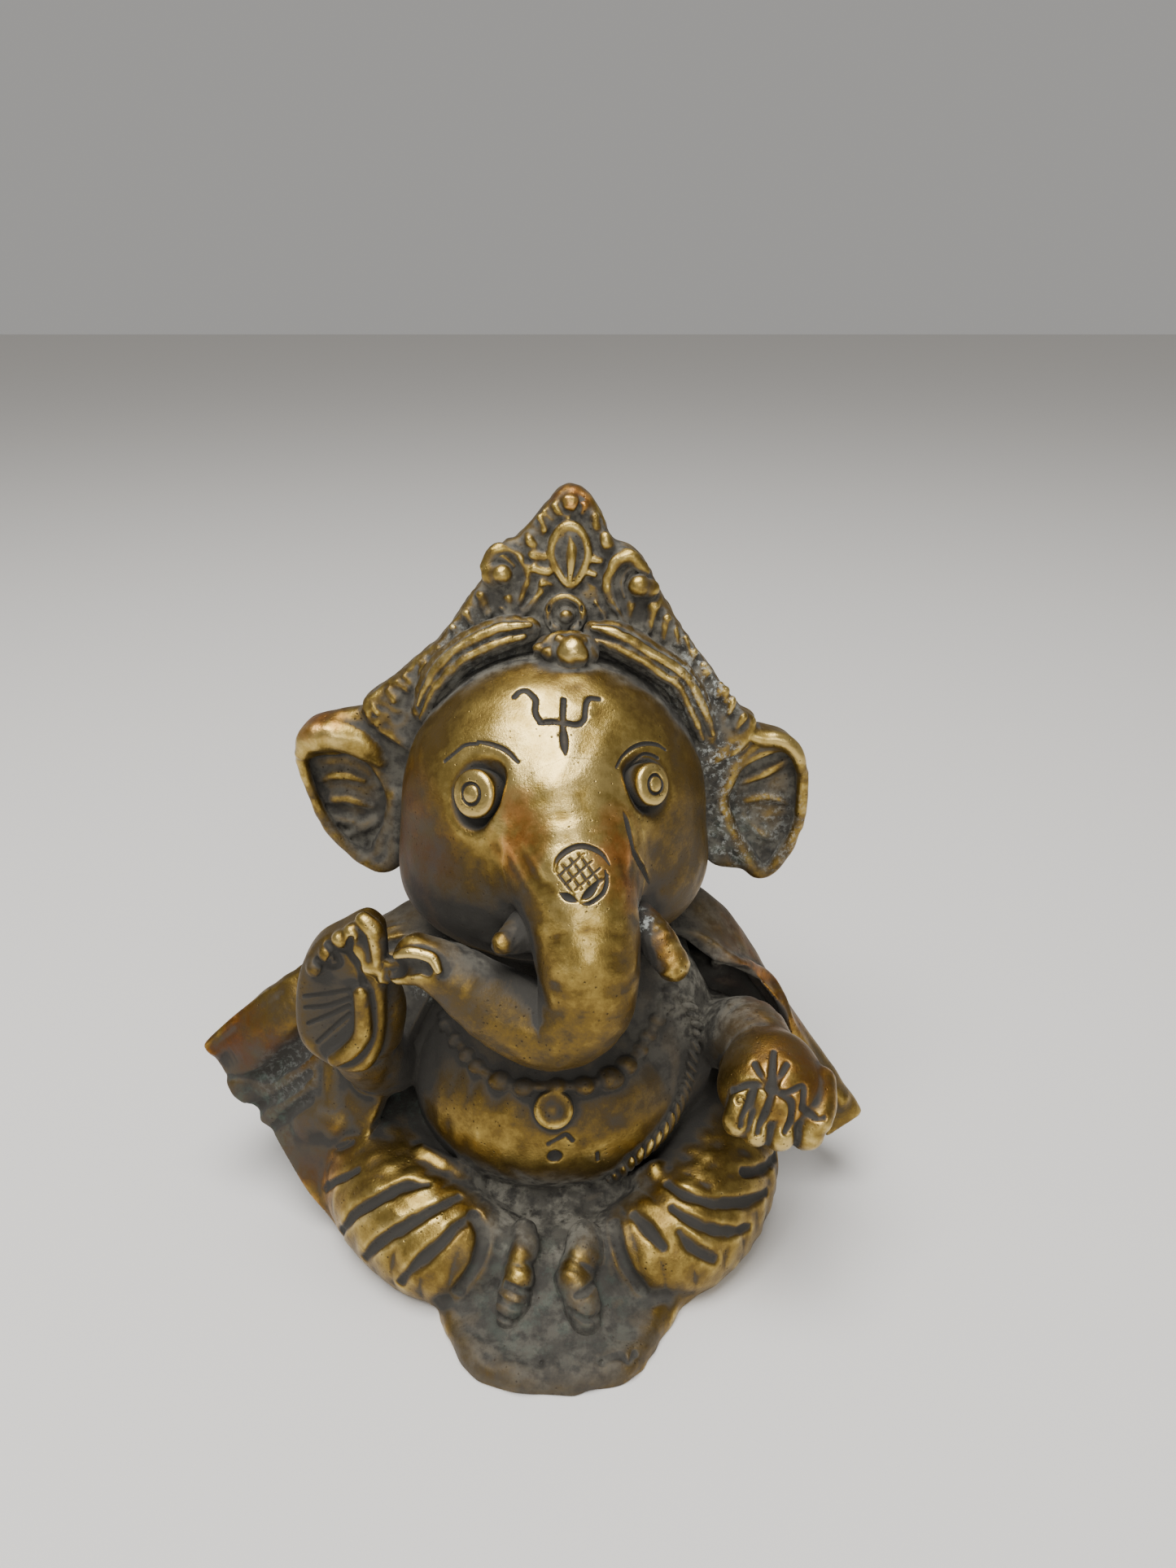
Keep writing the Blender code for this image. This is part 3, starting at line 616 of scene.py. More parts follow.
@cache
def cloak_cave(depth):
    """The dark hollow between the left arm and the cloak's edge, seen from the camera."""
    way = (
        (18.6, 8.0), (22.6, 7.9), (26.2, 7.3), (29.4, 6.1), (32.2, 3.9), (34.4, 0.3), (36.2, -4.1),
        (38.2, -8.7),
    )
    return limb(Spot("cloak").behind(*way, y=depth), (1.4, 2.0, 2.3, 2.4, 2.2, 1.9, 1.5, 0.9))


def cloak():
    at = Spot("cloak")
    cloth = cloak_cloth()
    rolls = (
        (
            ((-32.6, 5.2), (-36.4, 1.8), (-40.8, -1.8), (-44.8, -4.8), (-47.0, -6.6)),
            (2.2, 3.0, 3.3, 2.8, 1.3),
            -1.7,
        ),
        (
            ((-33.4, -6.6), (-37.3, -10.0), (-40.9, -12.4), (-44.7, -13.9), (-46.6, -13.8)),
            (1.0, 1.6, 1.7, 1.2, 0.4),
            -0.8,
        ),
        (((-34.8, -11.6), (-38.1, -15.0), (-41.4, -17.2), (-43.4, -19.0)), (1.0, 1.4, 1.2, 0.4), -0.7),
        (((-36.2, -19.0), (-33.6, -18.2), (-32.2, -19.2)), (2.0, 2.4, 2.2), -1.2),
        (((-30.4, -3.0), (-31.4, -9.0), (-32.4, -15.0)), (0.8, 1.2, 0.9), -0.6),
    )
    rolls = [stroke(cloth, at.face(*path), r, lift) for path, r, lift in rolls]
    cloth = merge(cloth, *rolls, k=1.6)
    lip = (
        (20.0, 10.0), (22.3, 10.0), (26.3, 9.8), (30.6, 9.2), (33.7, 7.2), (35.8, 3.5), (37.3, -0.9),
        (39.2, -4.3), (41.0, -7.7), (43.9, -12.1), (46.4, -15.0),
    )
    lining = limb(
        at.behind((17.0, 6.5), (21.0, 6.8), (25.0, 6.4), (28.6, 5.6), (31.2, 3.2), (33.0, -0.5), y=2.0),
        (4.4, 4.6, 4.6, 4.5, 3.9, 2.8),
    )
    cloth = merge(cloth, stroke(cloth, at.face(*lip), 0.8, lift=-0.2), lining, k=1.2)
    creases = (
        (
            ((-48.9, -10.6), (-45.8, -11.0), (-42.4, -10.3), (-38.8, -8.6), (-35.6, -6.4), (-32.0, -1.6)),
            (0.1, 0.4, 0.9, 0.9, 0.8, 0.6),
        ),
        (((-45.7, -16.4), (-42.3, -15.7), (-38.6, -13.3), (-35.7, -10.4)), (0.1, 0.4, 0.6, 0.5)),
        (((-42.4, -21.0), (-39.0, -17.6), (-36.0, -15.4)), (0.1, 0.5, 0.4)),
    )
    caves = [cloak_cave(depth) for depth in CAVE_DEPTHS]
    cloth = carve(cloth, *caves, *strokes(cloth, at, creases, lift=0.1), k=0.8)
    return above(hammered(cloth, 0.1, 6.0, 11), 0.3)


# ---- arms and hands ----


def arm_right():
    way = Spot("arm_right").path((6, 6.9, 4.9), (-0.5, 0.9, -4.6), (-2.5, -5.6, 0.4), (-3, -8.1, 5.4))
    return hammered(limb(way, (5, 5.2, 4.6, 4)), 0.1)


@cache
def arm_left():
    way = Spot("arm_left").path((-5.1, 9, -7.0), (-0.6, 1.5, -5.2), (2.0, -4.5, -1.4), (3.5, -9.8, -0.9))
    return hammered(limb(way, (4.6, 5, 5.1, 4.7)), 0.1)


def bracelet():
    at = Spot("bracelet_left")
    stations = ((-5.2, -3.6), (-4.8, -2.2), (-3.8, -0.6), (-1.7, 0.6), (0.6, 0.6), (2.9, -0.4), (4.4, -2.2))
    hold = merge(arm_left(), k=1)
    band = stroke(hold, at.face(*stations), 0.75, lift=0.1)
    bead = stroke(hold, at.face(*stations, y=-1.4), 0.45)
    return merge(band, bead, k=0.4)


def hand_right():
    at = Spot("hand_right")
    rim = at.face(
        (3.4, 10.8), (5.3, 9.7), (5.8, 7.7), (5.6, 1.1), (4.9, -6.5), (2.9, -11.2), (-0.2, -11.9),
        (-2.6, -10.6), (-5.1, -8.3), (-6.1, -5.1), (-5.7, 0.0), (-4.6, 4.1), (-2.5, 7.4), (0.5, 9.3),
    )
    palm = plate(rim, at.middle[1] - 2.0, at.middle[1] + 3.0, 1.5)
    wrist = limb(at.path((3.6, 2.4, 0.5), (4.0, 3.0, -4.0), (3.0, 4.0, -9.0)), (2.4, 3.2, 3.4))
    cup = ball(at(-1.2, -4.4, -1.6), (3.7, 3.0, 6.6))
    body = carve(merge(palm, wrist, k=1.0), cup, k=1.2)
    heel = at.face((-1.8, -10.5), (0.1, -9.2), (1.8, -6.9), (2.2, -3.7), (2.2, -0.4))
    thumb = at.face((3.4, 10.0), (4.5, 8.6), (4.8, 6.6), (4.6, 3.2))
    tips = drape(body, at.face((0.3, 7.4), (-1.5, 5.4), (1.8, 8.4), (-3.2, 3.2)))
    body = merge(
        body,
        stroke(body, heel, (1.1, 1.2, 1.2, 1.1, 1.0), lift=0.5),
        stroke(body, thumb, (1.1, 1.2, 1.1, 0.6), lift=0.3),
        *[ball(tip, 1.1) for tip in tips],
        k=0.6,
    )
    creases = (
        (((-5.0, -1.0), (-2.1, -0.6), (0.8, 0.0)), 0.25),
        (((-5.0, -2.7), (-2.2, -2.4), (0.7, -1.3)), 0.25),
        (((-4.8, -5.1), (-1.8, -3.7), (0.6, -2.4)), 0.25),
        (((-3.9, -8.0), (-1.4, -5.5), (0.5, -3.7)), 0.25),
        (((1.6, 7.4), (1.2, 5.6), (2.3, 3.4), (2.6, 1.0)), 0.4),
        (((-1.4, 6.8), (0.0, 4.1), (-1.1, 3.3), (-2.8, 4.4)), 0.35),
        (((1.0, 5.6), (-0.4, 5.6), (-2.6, 2.2)), 0.3),
    )
    return carve(body, *strokes(body, at, creases), k=0.3)


def hand_left():
    at = Spot("hand_left")
    body = merge(ball(at(0.2, 0.4, 0.4), (7.0, 6.0, 5.4)), ball(at(0.2, 3.4, 1.6), (5.4, 4.0, 4.6)), k=2.0)
    fingers = ((-4.9, -1.6, 1.7), (-2.4, -3.0, 1.8), (0.8, -3.6, 1.9), (4.4, -3.6, 1.8))
    for x, z, r in fingers:
        way = at.path((x * 0.9 + 0.3, -3.4, z + 3.2), (x, -4.7, z + 0.9), (x * 0.9, -3.8, z - 0.4))
        body = merge(body, limb(way, (1.5, r, r)), k=0.5)
    thumb = limb(at.path((6.2, -0.2, 1.6), (6.0, -2.6, 0.0), (5.4, -4.4, -1.0)), (1.9, 1.9, 1.7))
    body = merge(body, thumb, k=0.6)
    cuts = (
        (((-2.2, 0.2), (-2.7, -2.2), (-3.3, -4.4), (-3.4, -5.8)), 0.45),
        (((0.3, -0.1), (-0.3, -2.9), (-1.0, -5.5), (-1.2, -6.9)), 0.45),
        (((1.6, -0.5), (2.8, -1.9), (3.0, -4.4), (2.4, -6.6)), 0.45),
        (((4.3, -2.8), (6.1, -4.4), (7.2, -4.4)), 0.35),
        (((-4.9, 0.0), (-2.5, 1.0), (-0.2, 0.5), (1.8, -0.5), (4.0, 0.6), (4.3, -1.2), (4.3, -2.6)), 0.4),
        (((0.0, 5.9), (0.0, 3.4), (0.1, 0.6)), (0.3, 0.5, 0.9)),
        (((-2.3, 4.2), (-1.5, 2.7), (-0.2, 1.0)), 0.35),
        (((1.8, 4.1), (1.1, 2.3), (0.4, 0.6)), 0.35),
    )
    body = carve(body, *strokes(body, at, cuts), k=0.4)
    ring = at.face(*[(-3.8 + 0.6 * math.cos(a), -1.5 + 0.6 * math.sin(a)) for a in np.linspace(0, 5.4, 7)])
    return carve(body, stroke(body, ring, 0.16), k=0.15)


def web():
    at = Spot("trunk_hand_web")
    bridge = limb(at.path((3.6, -0.8, -0.2), (0.2, -0.2, -0.6), (-2.6, 0.8, -0.4)), (1.9, 1.5, 1.7))
    lumps = ball(at(0.6, -0.9, 0.9), (1.1, 0.9, 0.7)), ball(at(-0.8, -0.8, -1.4), (0.9, 0.9, 0.8))
    return hammered(merge(bridge, *lumps, k=0.5), 0.15, 1.6, 8)


# ---- head ----

HEAD_TURN = 6  # degrees towards the figure's right
FACE_JOIN = 5.0  # softness of the join between trunk and face
TRUNK_RADII = (8, 7.2, 6.4, 5.8, 5.2, 4.7, 3.6, 2.8)


@cache
def head():
    at = Spot("head_shell")
    turn = spin(HEAD_TURN)
    skull = ball(at(0, 0.2, -0.7), (20.2, 17, 20.6), turn)
    cheeks = ball(at(0, -1.8, -8.2), (20.6, 15.5, 12.5), turn)
    sockets = []
    for node, aside in (("eye_right", 1.0), ("eye_left", -1.0)):
        eye_at = Spot(node).middle
        place = eye_at + unit(eye_at - at.middle) * 0.9 + (aside, 0, 0)
        sockets.append(ball(place, (4.3, 2.6, 4.6), turn))
    return carve(hammered(merge(skull, cheeks, k=3.0), 0.1, 7.0, 2), *sockets, k=1.6)


def engraved_head():
    """The head, with the lines on its forehead, the eyebrows and a fold as marks on the finished surface."""
    at = Spot("head_shell")
    face = merge(head(), trunk_core(), k=FACE_JOIN)
    line = 0.36
    paths = (
        (
            (
                (-4.9, 14.4), (-4.2, 15.1), (-3.4, 15.2), (-2.7, 14.6), (-2.2, 13.9), (-2.3, 12.6),
                (-2.1, 11.7), (-1.6, 11.0),
            ),
            line,
        ),
        (((-1.6, 10.9), (-0.1, 11.0), (1.3, 10.9), (2.7, 10.6), (3.5, 10.7)), 0.42),
        (((3.5, 10.7), (4.1, 11.4), (4.2, 12.6), (4.4, 13.7), (4.9, 14.2), (5.9, 14.1)), line),
        (((1.4, 14.0), (1.3, 12.0), (1.3, 10.0)), line),
        (((1.3, 10.2), (1.35, 9.2), (1.45, 7.6), (1.6, 6.3)), (0.2, 0.5, 0.48, 0.12)),
        (((-14.3, 5.4), (-12.8, 6.7), (-11.5, 7.7), (-9.9, 7.9)), 0.24),
        (((-9.9, 8.2), (-8.1, 7.8), (-6.3, 7.0), (-4.7, 5.3)), (0.2, 0.3, 0.32, 0.22)),
        (
            ((8.3, 4.5), (9.2, 6.1), (10.6, 7.4), (12.2, 7.9), (13.7, 7.7), (14.7, 7.0)),
            (0.2, 0.3, 0.32, 0.3, 0.26, 0.2),
        ),
        (((10.4, 5.1), (11.6, 6.3), (12.7, 6.3), (13.7, 5.8)), 0.2),
    )
    fold = ((9.3, -1.4), (10.0, -3.7), (10.9, -7.9), (12.2, -10.8), (13.1, -13.0))
    whole = merge(head(), k=0.1)
    fold = stroke(face, at.face(*fold), (0.2, 0.5, 0.55, 0.5, 0.2), lift=0.25)
    whole.marks = (*strokes(face, at, paths), fold)
    return whole


@cache
def trunk_core():
    at = Spot("trunk")
    return limb(
        at.path(
            (6.2, 9.8, 10.4), (7.4, 3.8, 4.4), (8.6, -0.8, -2.6), (8.4, -2.4, -9.1), (4.2, -2.0, -13.0),
            (-2.2, -1.2, -10.4), (-7.6, -0.6, -6.2), (-11.8, 0.0, -4.0),
        ),
        TRUNK_RADII,
        per=10,
    )


def trunk():
    at = Spot("trunk")
    body = hammered(trunk_core(), 0.1, 5.0, 9)
    lip = ((-14.2, -3.9), (-12.8, -3.5), (-11.3, -3.8), (-10.0, -4.4), (-9.4, -6.0))
    body = merge(
        body,
        stroke(body, at.face(*lip), (0.6, 0.75, 0.75, 0.7, 0.5), lift=0.35),
        limb(at.path((-11.2, -0.6, -5.6), (-14.0, -0.4, -6.2)), (1.9, 1.4)),
        k=0.5,
    )
    mouth = stroke(
        body, at.face((-15.2, -5.8), (-13.4, -5.7), (-11.8, -5.5), (-10.8, -6.2)), (1.2, 1.2, 1.0, 0.6)
    )
    body = carve(body, mouth, k=0.4)
    face = merge(body, head(), k=FACE_JOIN)
    medallion = (
        (
            ((4.9, 7.5), (5.2, 9.2), (6.8, 10.6), (8.5, 10.9), (10.3, 10.0), (11.3, 8.5)),
            (0.15, 0.34, 0.38, 0.38, 0.34, 0.15),
        ),
        (((10.8, 7.7), (11.0, 6.3), (10.5, 4.6), (9.0, 3.3), (7.9, 3.4)), (0.15, 0.28, 0.3, 0.28, 0.2)),
        (((7.9, 3.6), (9.0, 4.8), (10.4, 6.8)), (0.15, 0.55, 0.12)),
        (((5.4, 4.7), (6.4, 4.1), (7.5, 3.5)), (0.12, 0.5, 0.15)),
    )
    body.marks = (*strokes(face, at, medallion), *strokes(face, at, hatching()))
    return body


def hatching():
    """Two sets of crossing lines inside the trunk's medallion."""
    rows = []
    for k in range(4):
        s = (k - 1.3) * 0.95
        rows.append((((6.0 + s, 8.8 + s * 0.75), (8.3 + s, 5.4 + s * 0.75)), 0.17))
        rows.append((((9.9 - s, 8.3 + s), (7.0 - s, 5.4 + s)), 0.17))
    return rows


def tusk_right():
    at = Spot("tusk_right")
    root = limb(at.path((2.6, 4.2, -1.4), (1.6, 1.6, -1.4), (-0.4, -0.8, -1.5)), (3.2, 2.9, 1.9))
    return hammered(merge(root, ball(at(-1.5, -2.3, -1.2), 1.45), k=0.5), 0.08, 2.0, 4)


def tusk_left():
    way = Spot("tusk_left").path((-2.0, 2.8, 0.4), (0.0, 0.0, -0.8), (2.2, -2.4, -3.1))
    return hammered(limb(way, (2.3, 2.4, 2.1)), 0.08, 2.0, 6)


def eye(node, size):
    """A button with a groove round a raised pupil. It looks straight out from the middle of the head."""
    base = Spot(node).middle
    axis = unit((base - Spot("head_shell").middle) * (1, 1, 0.8))

    def field(points):
        local = points - base
        up = local @ axis
        out = length(local - up[:, None] * axis)
        domed = 1.5 - 0.05 * out**2
        groove = 0.42 * np.exp(-(((out - 0.43 * size) / 0.19) ** 2))
        top = domed - groove + 0.2 * np.exp(-((out / 0.7) ** 2))
        return soft_max(soft_max(up - top, out - size, 0.6), -2.5 - up, 0.5)

    reach = size + 1.5
    return Shape(field, base - reach, base + reach)


def ear(node, outline, hollow, ribs, rim, rim_radii, edge, edge_radii):
    """A shell with a hollow front, ribs in the hollow, a rolled rim, and a thinner edge round the rest."""
    at = Spot(node)
    y = at.middle[1]
    shell = plate(at.face(*outline), y - 1.2, y + 2.4, 1.5)
    shell = carve(shell, plate(at.face(*hollow), y - 4.0, y + 0.9, 0.6), k=1.3)
    rows = [(rib, (0.4, 0.75, 0.75, 0.4)[: len(rib)]) for rib in ribs]
    rims = limb(at.face(*rim, y=-1.1), rim_radii), limb(at.face(*edge, y=-0.7), edge_radii)
    return hammered(merge(shell, *rims, *strokes(shell, at, rows, lift=-0.05), k=0.8), 0.09, 4.5, 12)


def ear_right():
    return ear(
        "ear_right",
        (
            (8, 8.5), (4.5, 11.6), (1.7, 12.6), (-3.1, 11.8), (-5.4, 11.1), (-7.3, 9.6), (-8.2, 7.6),
            (-8.1, 5.1), (-6.9, -0.5), (-5.3, -4.7), (-2.5, -8.3), (0.8, -11.2), (3.3, -11.4), (5.4, -10.2),
            (9, -5), (10, 2),
        ),
        (
            (-6.8, 5.4), (-1.3, 6.0), (1.2, 4.6), (2.6, 2.0), (3.4, -0.6), (3.0, -3.4), (1.6, -6.6),
            (0.4, -8.8), (-1.4, -8.4), (-4.2, -4.6), (-6.0, -0.4), (-7.2, 3.6),
        ),
        (
            ((-5.4, 2.2), (-3.6, 2.9), (-1.6, 2.9), (0.5, 2.1)),
            ((-5.7, -1.2), (-3.6, -0.7), (-1.4, -0.7), (1.5, -1.7)),
            ((-4.4, -2.4), (-3.6, -3.6), (-1.5, -4.0)),
            ((-2.3, -6.2), (-0.4, -5.1), (1.2, -4.4), (2.7, -3.8)),
        ),
        ((-7.0, 6.6), (-5.8, 8.4), (-3.4, 9.2), (-0.6, 8.8), (1.8, 7.4), (3.2, 5.8)),
        (1.2, 1.9, 2.3, 2.3, 2.0, 1.3),
        (
            (-7.4, 5.0), (-6.2, -0.6), (-4.6, -4.6), (-1.9, -8.2), (0.9, -10.4), (3.2, -10.4), (4.6, -8.0),
            (4.6, -4.0), (5.0, 0.0),
        ),
        (0.8, 0.7, 0.8, 0.9, 1.0, 1.1, 1.1, 1.2, 1.4),
    )


def ear_left():
    return ear(
        "ear_left",
        (
            (-5, 11), (-0.8, 12.0), (2.0, 11.5), (4.4, 10.5), (6.1, 8.6), (7.2, 5.8), (7.6, 2.3), (7.5, -2.1),
            (6.7, -5.0), (5.6, -7.7), (3.4, -10.4), (1.2, -10.8), (-0.9, -9.8), (-5.1, -8.8), (-8, -4),
            (-9, 4),
        ),
        (
            (-2.8, 2.8), (-1.2, 5.6), (0.8, 7.0), (3.0, 8.0), (4.8, 8.0), (5.9, 5.1), (6.2, 1.5), (6.1, -2.1),
            (5.0, -5.0), (3.4, -7.8), (2.2, -8.6), (0.4, -6.4), (-1.4, -3.6), (-3.0, -0.4),
        ),
        (
            ((-1.6, 3.7), (0.3, 4.4), (2.4, 5.4), (5.1, 7.2)),
            ((-0.8, 0.8), (1.1, 1.5), (3.1, 1.5), (5.1, 0.6)),
            ((-1.0, -1.3), (0.4, -2.9), (1.8, -4.0), (3.5, -4.8)),
        ),
        ((-0.8, 11.0), (1.2, 10.4), (2.8, 10.2), (4.2, 9.6), (5.6, 8.2), (6.4, 6.0)),
        (1.0, 1.1, 1.2, 1.1, 1.0, 0.8),
        (
            (-0.4, 9.6), (-1.7, 8.4), (-2.7, 6.6), (-3.6, 3.8), (-4.4, 1.0), (-3.6, -1.6), (-2.0, -4.8),
            (-0.2, -7.6), (1.4, -9.8), (3.2, -9.6), (5.0, -7.0), (6.4, -3.6), (7.0, 1.0), (6.8, 5.0),
        ),
        (0.8, 0.9, 0.9, 1.1, 1.3, 1.3, 1.2, 1.1, 0.9, 0.8, 0.7, 0.7, 0.7, 0.7),
    )


# ---- crown ----

CROWN_LEAN = math.tan(math.radians(8.0))
CROWN_FRONT = -1.9  # from the box's middle to the front face at the same height
CROWN_WALL = 3.6


def crown_face(*offsets, proud=0.0):
    """Offsets (x, z) from the middle of the crown, on its leaning front face or proud of it."""
    places = [(x, CROWN_FRONT + CROWN_LEAN * z - proud, z) for x, z in offsets]
    return Spot("crown_plate").middle + np.array(places)


def leaf(stations, radii, proud=0.0):
    """A raised bar on the crown's face."""
    return limb(crown_face(*stations, proud=proud), radii)


@cache
def crown_slab():
    at = Spot("crown_plate")
    outline = (
        (0.6, 17.6), (-1.0, 16.2), (-4.6, 12.1), (-7.3, 10.5), (-9.4, 6.8), (-11.9, 3.5), (-15.2, -0.9),
        (-18.4, -3.6), (-21.8, -6.4), (-25.8, -9.6), (-24.0, -13.5), (-17, -17.0), (-10, -15.5), (10, -15.5),
        (16, -18.5), (23.5, -16.5), (26.0, -12.2), (23.8, -10.2), (21.7, -7.9), (19.3, -4.4), (16.6, -0.9),
        (12.9, 5.0), (11.4, 8.0), (9.4, 10.2), (6.9, 11.3), (5.5, 14.4), (4.0, 16.7), (2.2, 17.8),
    )
    front = at.middle[1] + CROWN_FRONT

    def lean(points):
        return CROWN_LEAN * (points[:, 2] - at.middle[2])

    return plate(at.face(*outline), front, front + CROWN_WALL, 1.1, bow=lean)


def crown():
    fan = (
        (((1.6, 16.0), (1.6, 15.9)), 1.15),
        (((-0.2, 15.6), (0.2, 14.8), (1.2, 14.3)), (0.45, 0.6, 0.35)),
        (((-1.6, 14.8), (-0.9, 14.0)), (0.45, 0.4)),
        (((-2.1, 14.1), (-1.6, 12.9)), (0.55, 0.6)),
        (((3.3, 15.6), (3.0, 14.7)), (0.55, 0.4)),
        (((4.6, 14.2), (4.8, 13.0)), (0.6, 0.6)),
        (((-3.5, 11.6), (-3.2, 11.0)), 0.85),
        (((5.9, 11.6), (6.2, 10.8)), 0.9),
        (((-3.2, 9.6), (-1.7, 9.4)), 0.75),
        (((-2.9, 7.9), (-1.2, 7.6)), 0.75),
        (((-2.0, 6.2), (-1.0, 6.0)), (0.6, 0.4)),
        (((4.6, 9.1), (5.4, 8.9)), 0.65),
        (((4.1, 7.4), (4.6, 7.2)), 0.6),
    )
    under_right_stud = (
        (((-9.0, 8.0), (-8.0, 10.0), (-6.4, 10.3), (-5.0, 9.6), (-4.1, 8.0)), (0.7, 0.9, 0.7, 0.6, 0.5)),
        (((-3.9, 8.4), (-4.0, 6.4), (-4.6, 4.4), (-5.0, 3.0)), (0.35, 0.6, 0.5, 0.25)),
        (((-2.2, 4.9), (-3.3, 3.6), (-4.4, 2.8)), (0.45, 0.6, 0.3)),
        (((-6.4, 4.3), (-6.2, 2.8)), (0.55, 0.4)),
        (((-7.1, 2.9), (-6.3, 2.1), (-5.1, 2.0), (-3.7, 2.7)), (0.3, 0.4, 0.4, 0.3)),
        (((-9.8, 4.6), (-9.0, 2.4)), (0.75, 0.65)),
        (((-11.6, 2.3), (-11.0, 1.2)), (0.6, 0.5)),
        (((-13.4, 0.4), (-12.8, -0.6)), (0.6, 0.5)),
        (((4.8, 3.6), (6.0, 1.8)), (0.25, 0.3)),
    )
    round_left_stud = (
        (
            ((11.2, 7.6), (9.3, 9.3), (7.7, 9.1), (6.6, 7.4), (6.3, 5.5), (7.0, 3.6), (8.3, 1.5)),
            (0.6, 1.0, 1.0, 0.85, 0.75, 0.6, 0.3),
            0.3,
        ),
        (((9.3, 3.6), (8.7, 1.2)), (0.6, 0.5)),
        (((12.1, 3.2), (11.5, 0.2)), (0.95, 0.5)),
        (((13.7, 1.6), (13.3, -0.8)), (0.75, 0.5)),
        (((15.0, 0.3), (15.2, -1.5)), (0.5, 0.45)),
        (((16.3, -0.8), (16.8, -2.6)), (0.45, 0.4)),
    )
    parts = [leaf(*row) for row in fan + under_right_stud + round_left_stud]
    for k in range(7):
        s = k / 6 + 0.05 * math.sin(2.4 * k)
        shift = 0.5 * math.sin(5.1 * k)
        x, z = 17.4 + 6.4 * s, -2.8 - 7.8 * s + 0.4 * shift
        parts.append(leaf(((x, z), (x - 0.5 + shift, z - 1.2)), (0.62, 0.5 + 0.15 * (k % 2))))
        x, z = -15.4 - 8.4 * s, -2.2 - 7.0 * s + 0.4 * shift
        parts.append(leaf(((x, z), (x + 0.7 + shift, z - 0.8)), (0.42, 0.5 + 0.12 * (k % 3)), -0.15))
    return hammered(merge(crown_slab(), *parts, k=0.45), 0.1, 2.2, 21)


def jewel():
    ring = (
        (1.5, 13.2), (2.9, 12.3), (3.7, 10.0), (3.0, 7.6), (1.6, 5.9), (0.1, 7.6), (-0.8, 10.0), (0.1, 12.3)
    )
    loop = limb(crown_face(*ring, proud=0.2), (0.8, 0.8, 0.75, 0.7, 0.6, 0.7, 0.75, 0.8), loop=True)
    bed = ball(crown_face((1.5, 9.6))[0], (2.4, 0.9, 3.8))
    heart = limb(crown_face((1.6, 11.9), (1.7, 9.6), (1.5, 6.4), proud=0.6), (0.45, 0.7, 0.3))
    return merge(loop, bed, heart, k=0.3)


def boss_right():
    return merge(
        ball(crown_face((-7.0, 7.4), proud=0.9)[0], 1.35),
        ball(crown_face((-8.0, 7.2), proud=0.2)[0], (1.7, 1.1, 1.7)),
        limb(crown_face((-9.4, 8.2), (-8.4, 9.2), (-7.0, 9.3), (-5.7, 8.3)), (0.4, 0.5, 0.5, 0.3)),
        k=0.4,
    )


def boss_left():
    return merge(
        ball(crown_face((10.2, 6.0), proud=0.9)[0], 1.45),
        ball(crown_face((11.3, 5.5), proud=0.2)[0], (1.6, 1.1, 1.3)),
        limb(crown_face((10.9, 8.4), (9.1, 7.9), (8.1, 6.2), (8.4, 4.4)), (0.3, 0.35, 0.35, 0.2)),
        k=0.4,
    )


def arch_ring():
    turns = np.radians(np.linspace(-58, 238, 12))
    ring = crown_face(*[(0.9 + 2.25 * math.cos(a), 2.2 + 2.25 * math.sin(a)) for a in turns], proud=0.15)
    body = limb(ring, 0.55)
    nicks = [ball(ring[k] - (0, 0.5, 0), (0.15, 0.4, 0.4)) for k in (1, 3, 8, 10)]
    ends = [ball(ring[k], 0.7) for k in (0, -1)]
    return carve(merge(body, *ends, k=0.3), *nicks, k=0.2)


def bead():
    at = (1.0, 2.1)
    return merge(ball(crown_face(at, proud=0.55)[0], 0.95), ball(crown_face(at)[0], (1.2, 0.5, 1.2)), k=0.25)


def headband(node, outer, inner):
    """Two ridges side by side on a bed that fills the gap between head and crown."""
    at = Spot(node)
    between = len(outer) - 2
    bed_path = (at.face(*outer) + at.face(*inner)) / 2 + (0, 2.6, -0.6)
    bed = limb(bed_path, (1.6,) + (2.3,) * between + (1.6,))
    base = merge(head(), crown_slab(), bed, k=0.8)
    ridges = strokes(
        base, at, [(row, (0.4,) + (0.75,) * between + (0.45,)) for row in (outer, inner)], lift=0.25
    )
    return hammered(merge(*ridges, bed, k=0.25), 0.08, 3.0, 15)


def headband_right():
    return headband(
        "headband_right",
        ((7.4, 6.0), (3.9, 5.6), (1.0, 4.4), (-2.0, 2.6), (-4.7, -0.1), (-7.1, -4.5)),
        ((6.6, 4.5), (3.9, 3.8), (0.5, 2.4), (-2.1, 0.7), (-5.0, -2.8), (-6.7, -6.4)),
    )


def headband_left():
    return headband(
        "headband_left",
        (
            (-7.7, 7.2), (-5.4, 6.7), (-2.8, 5.4), (-0.3, 3.8), (2.5, 2.1), (4.4, 0.3), (6.3, -3.4),
            (7.8, -6.9),
        ),
        (
            (-7.1, 5.6), (-4.4, 4.6), (-1.4, 2.9), (1.2, 1.1), (3.0, -0.2), (4.3, -2.5), (5.6, -5.4),
            (6.4, -7.6),
        ),
    )


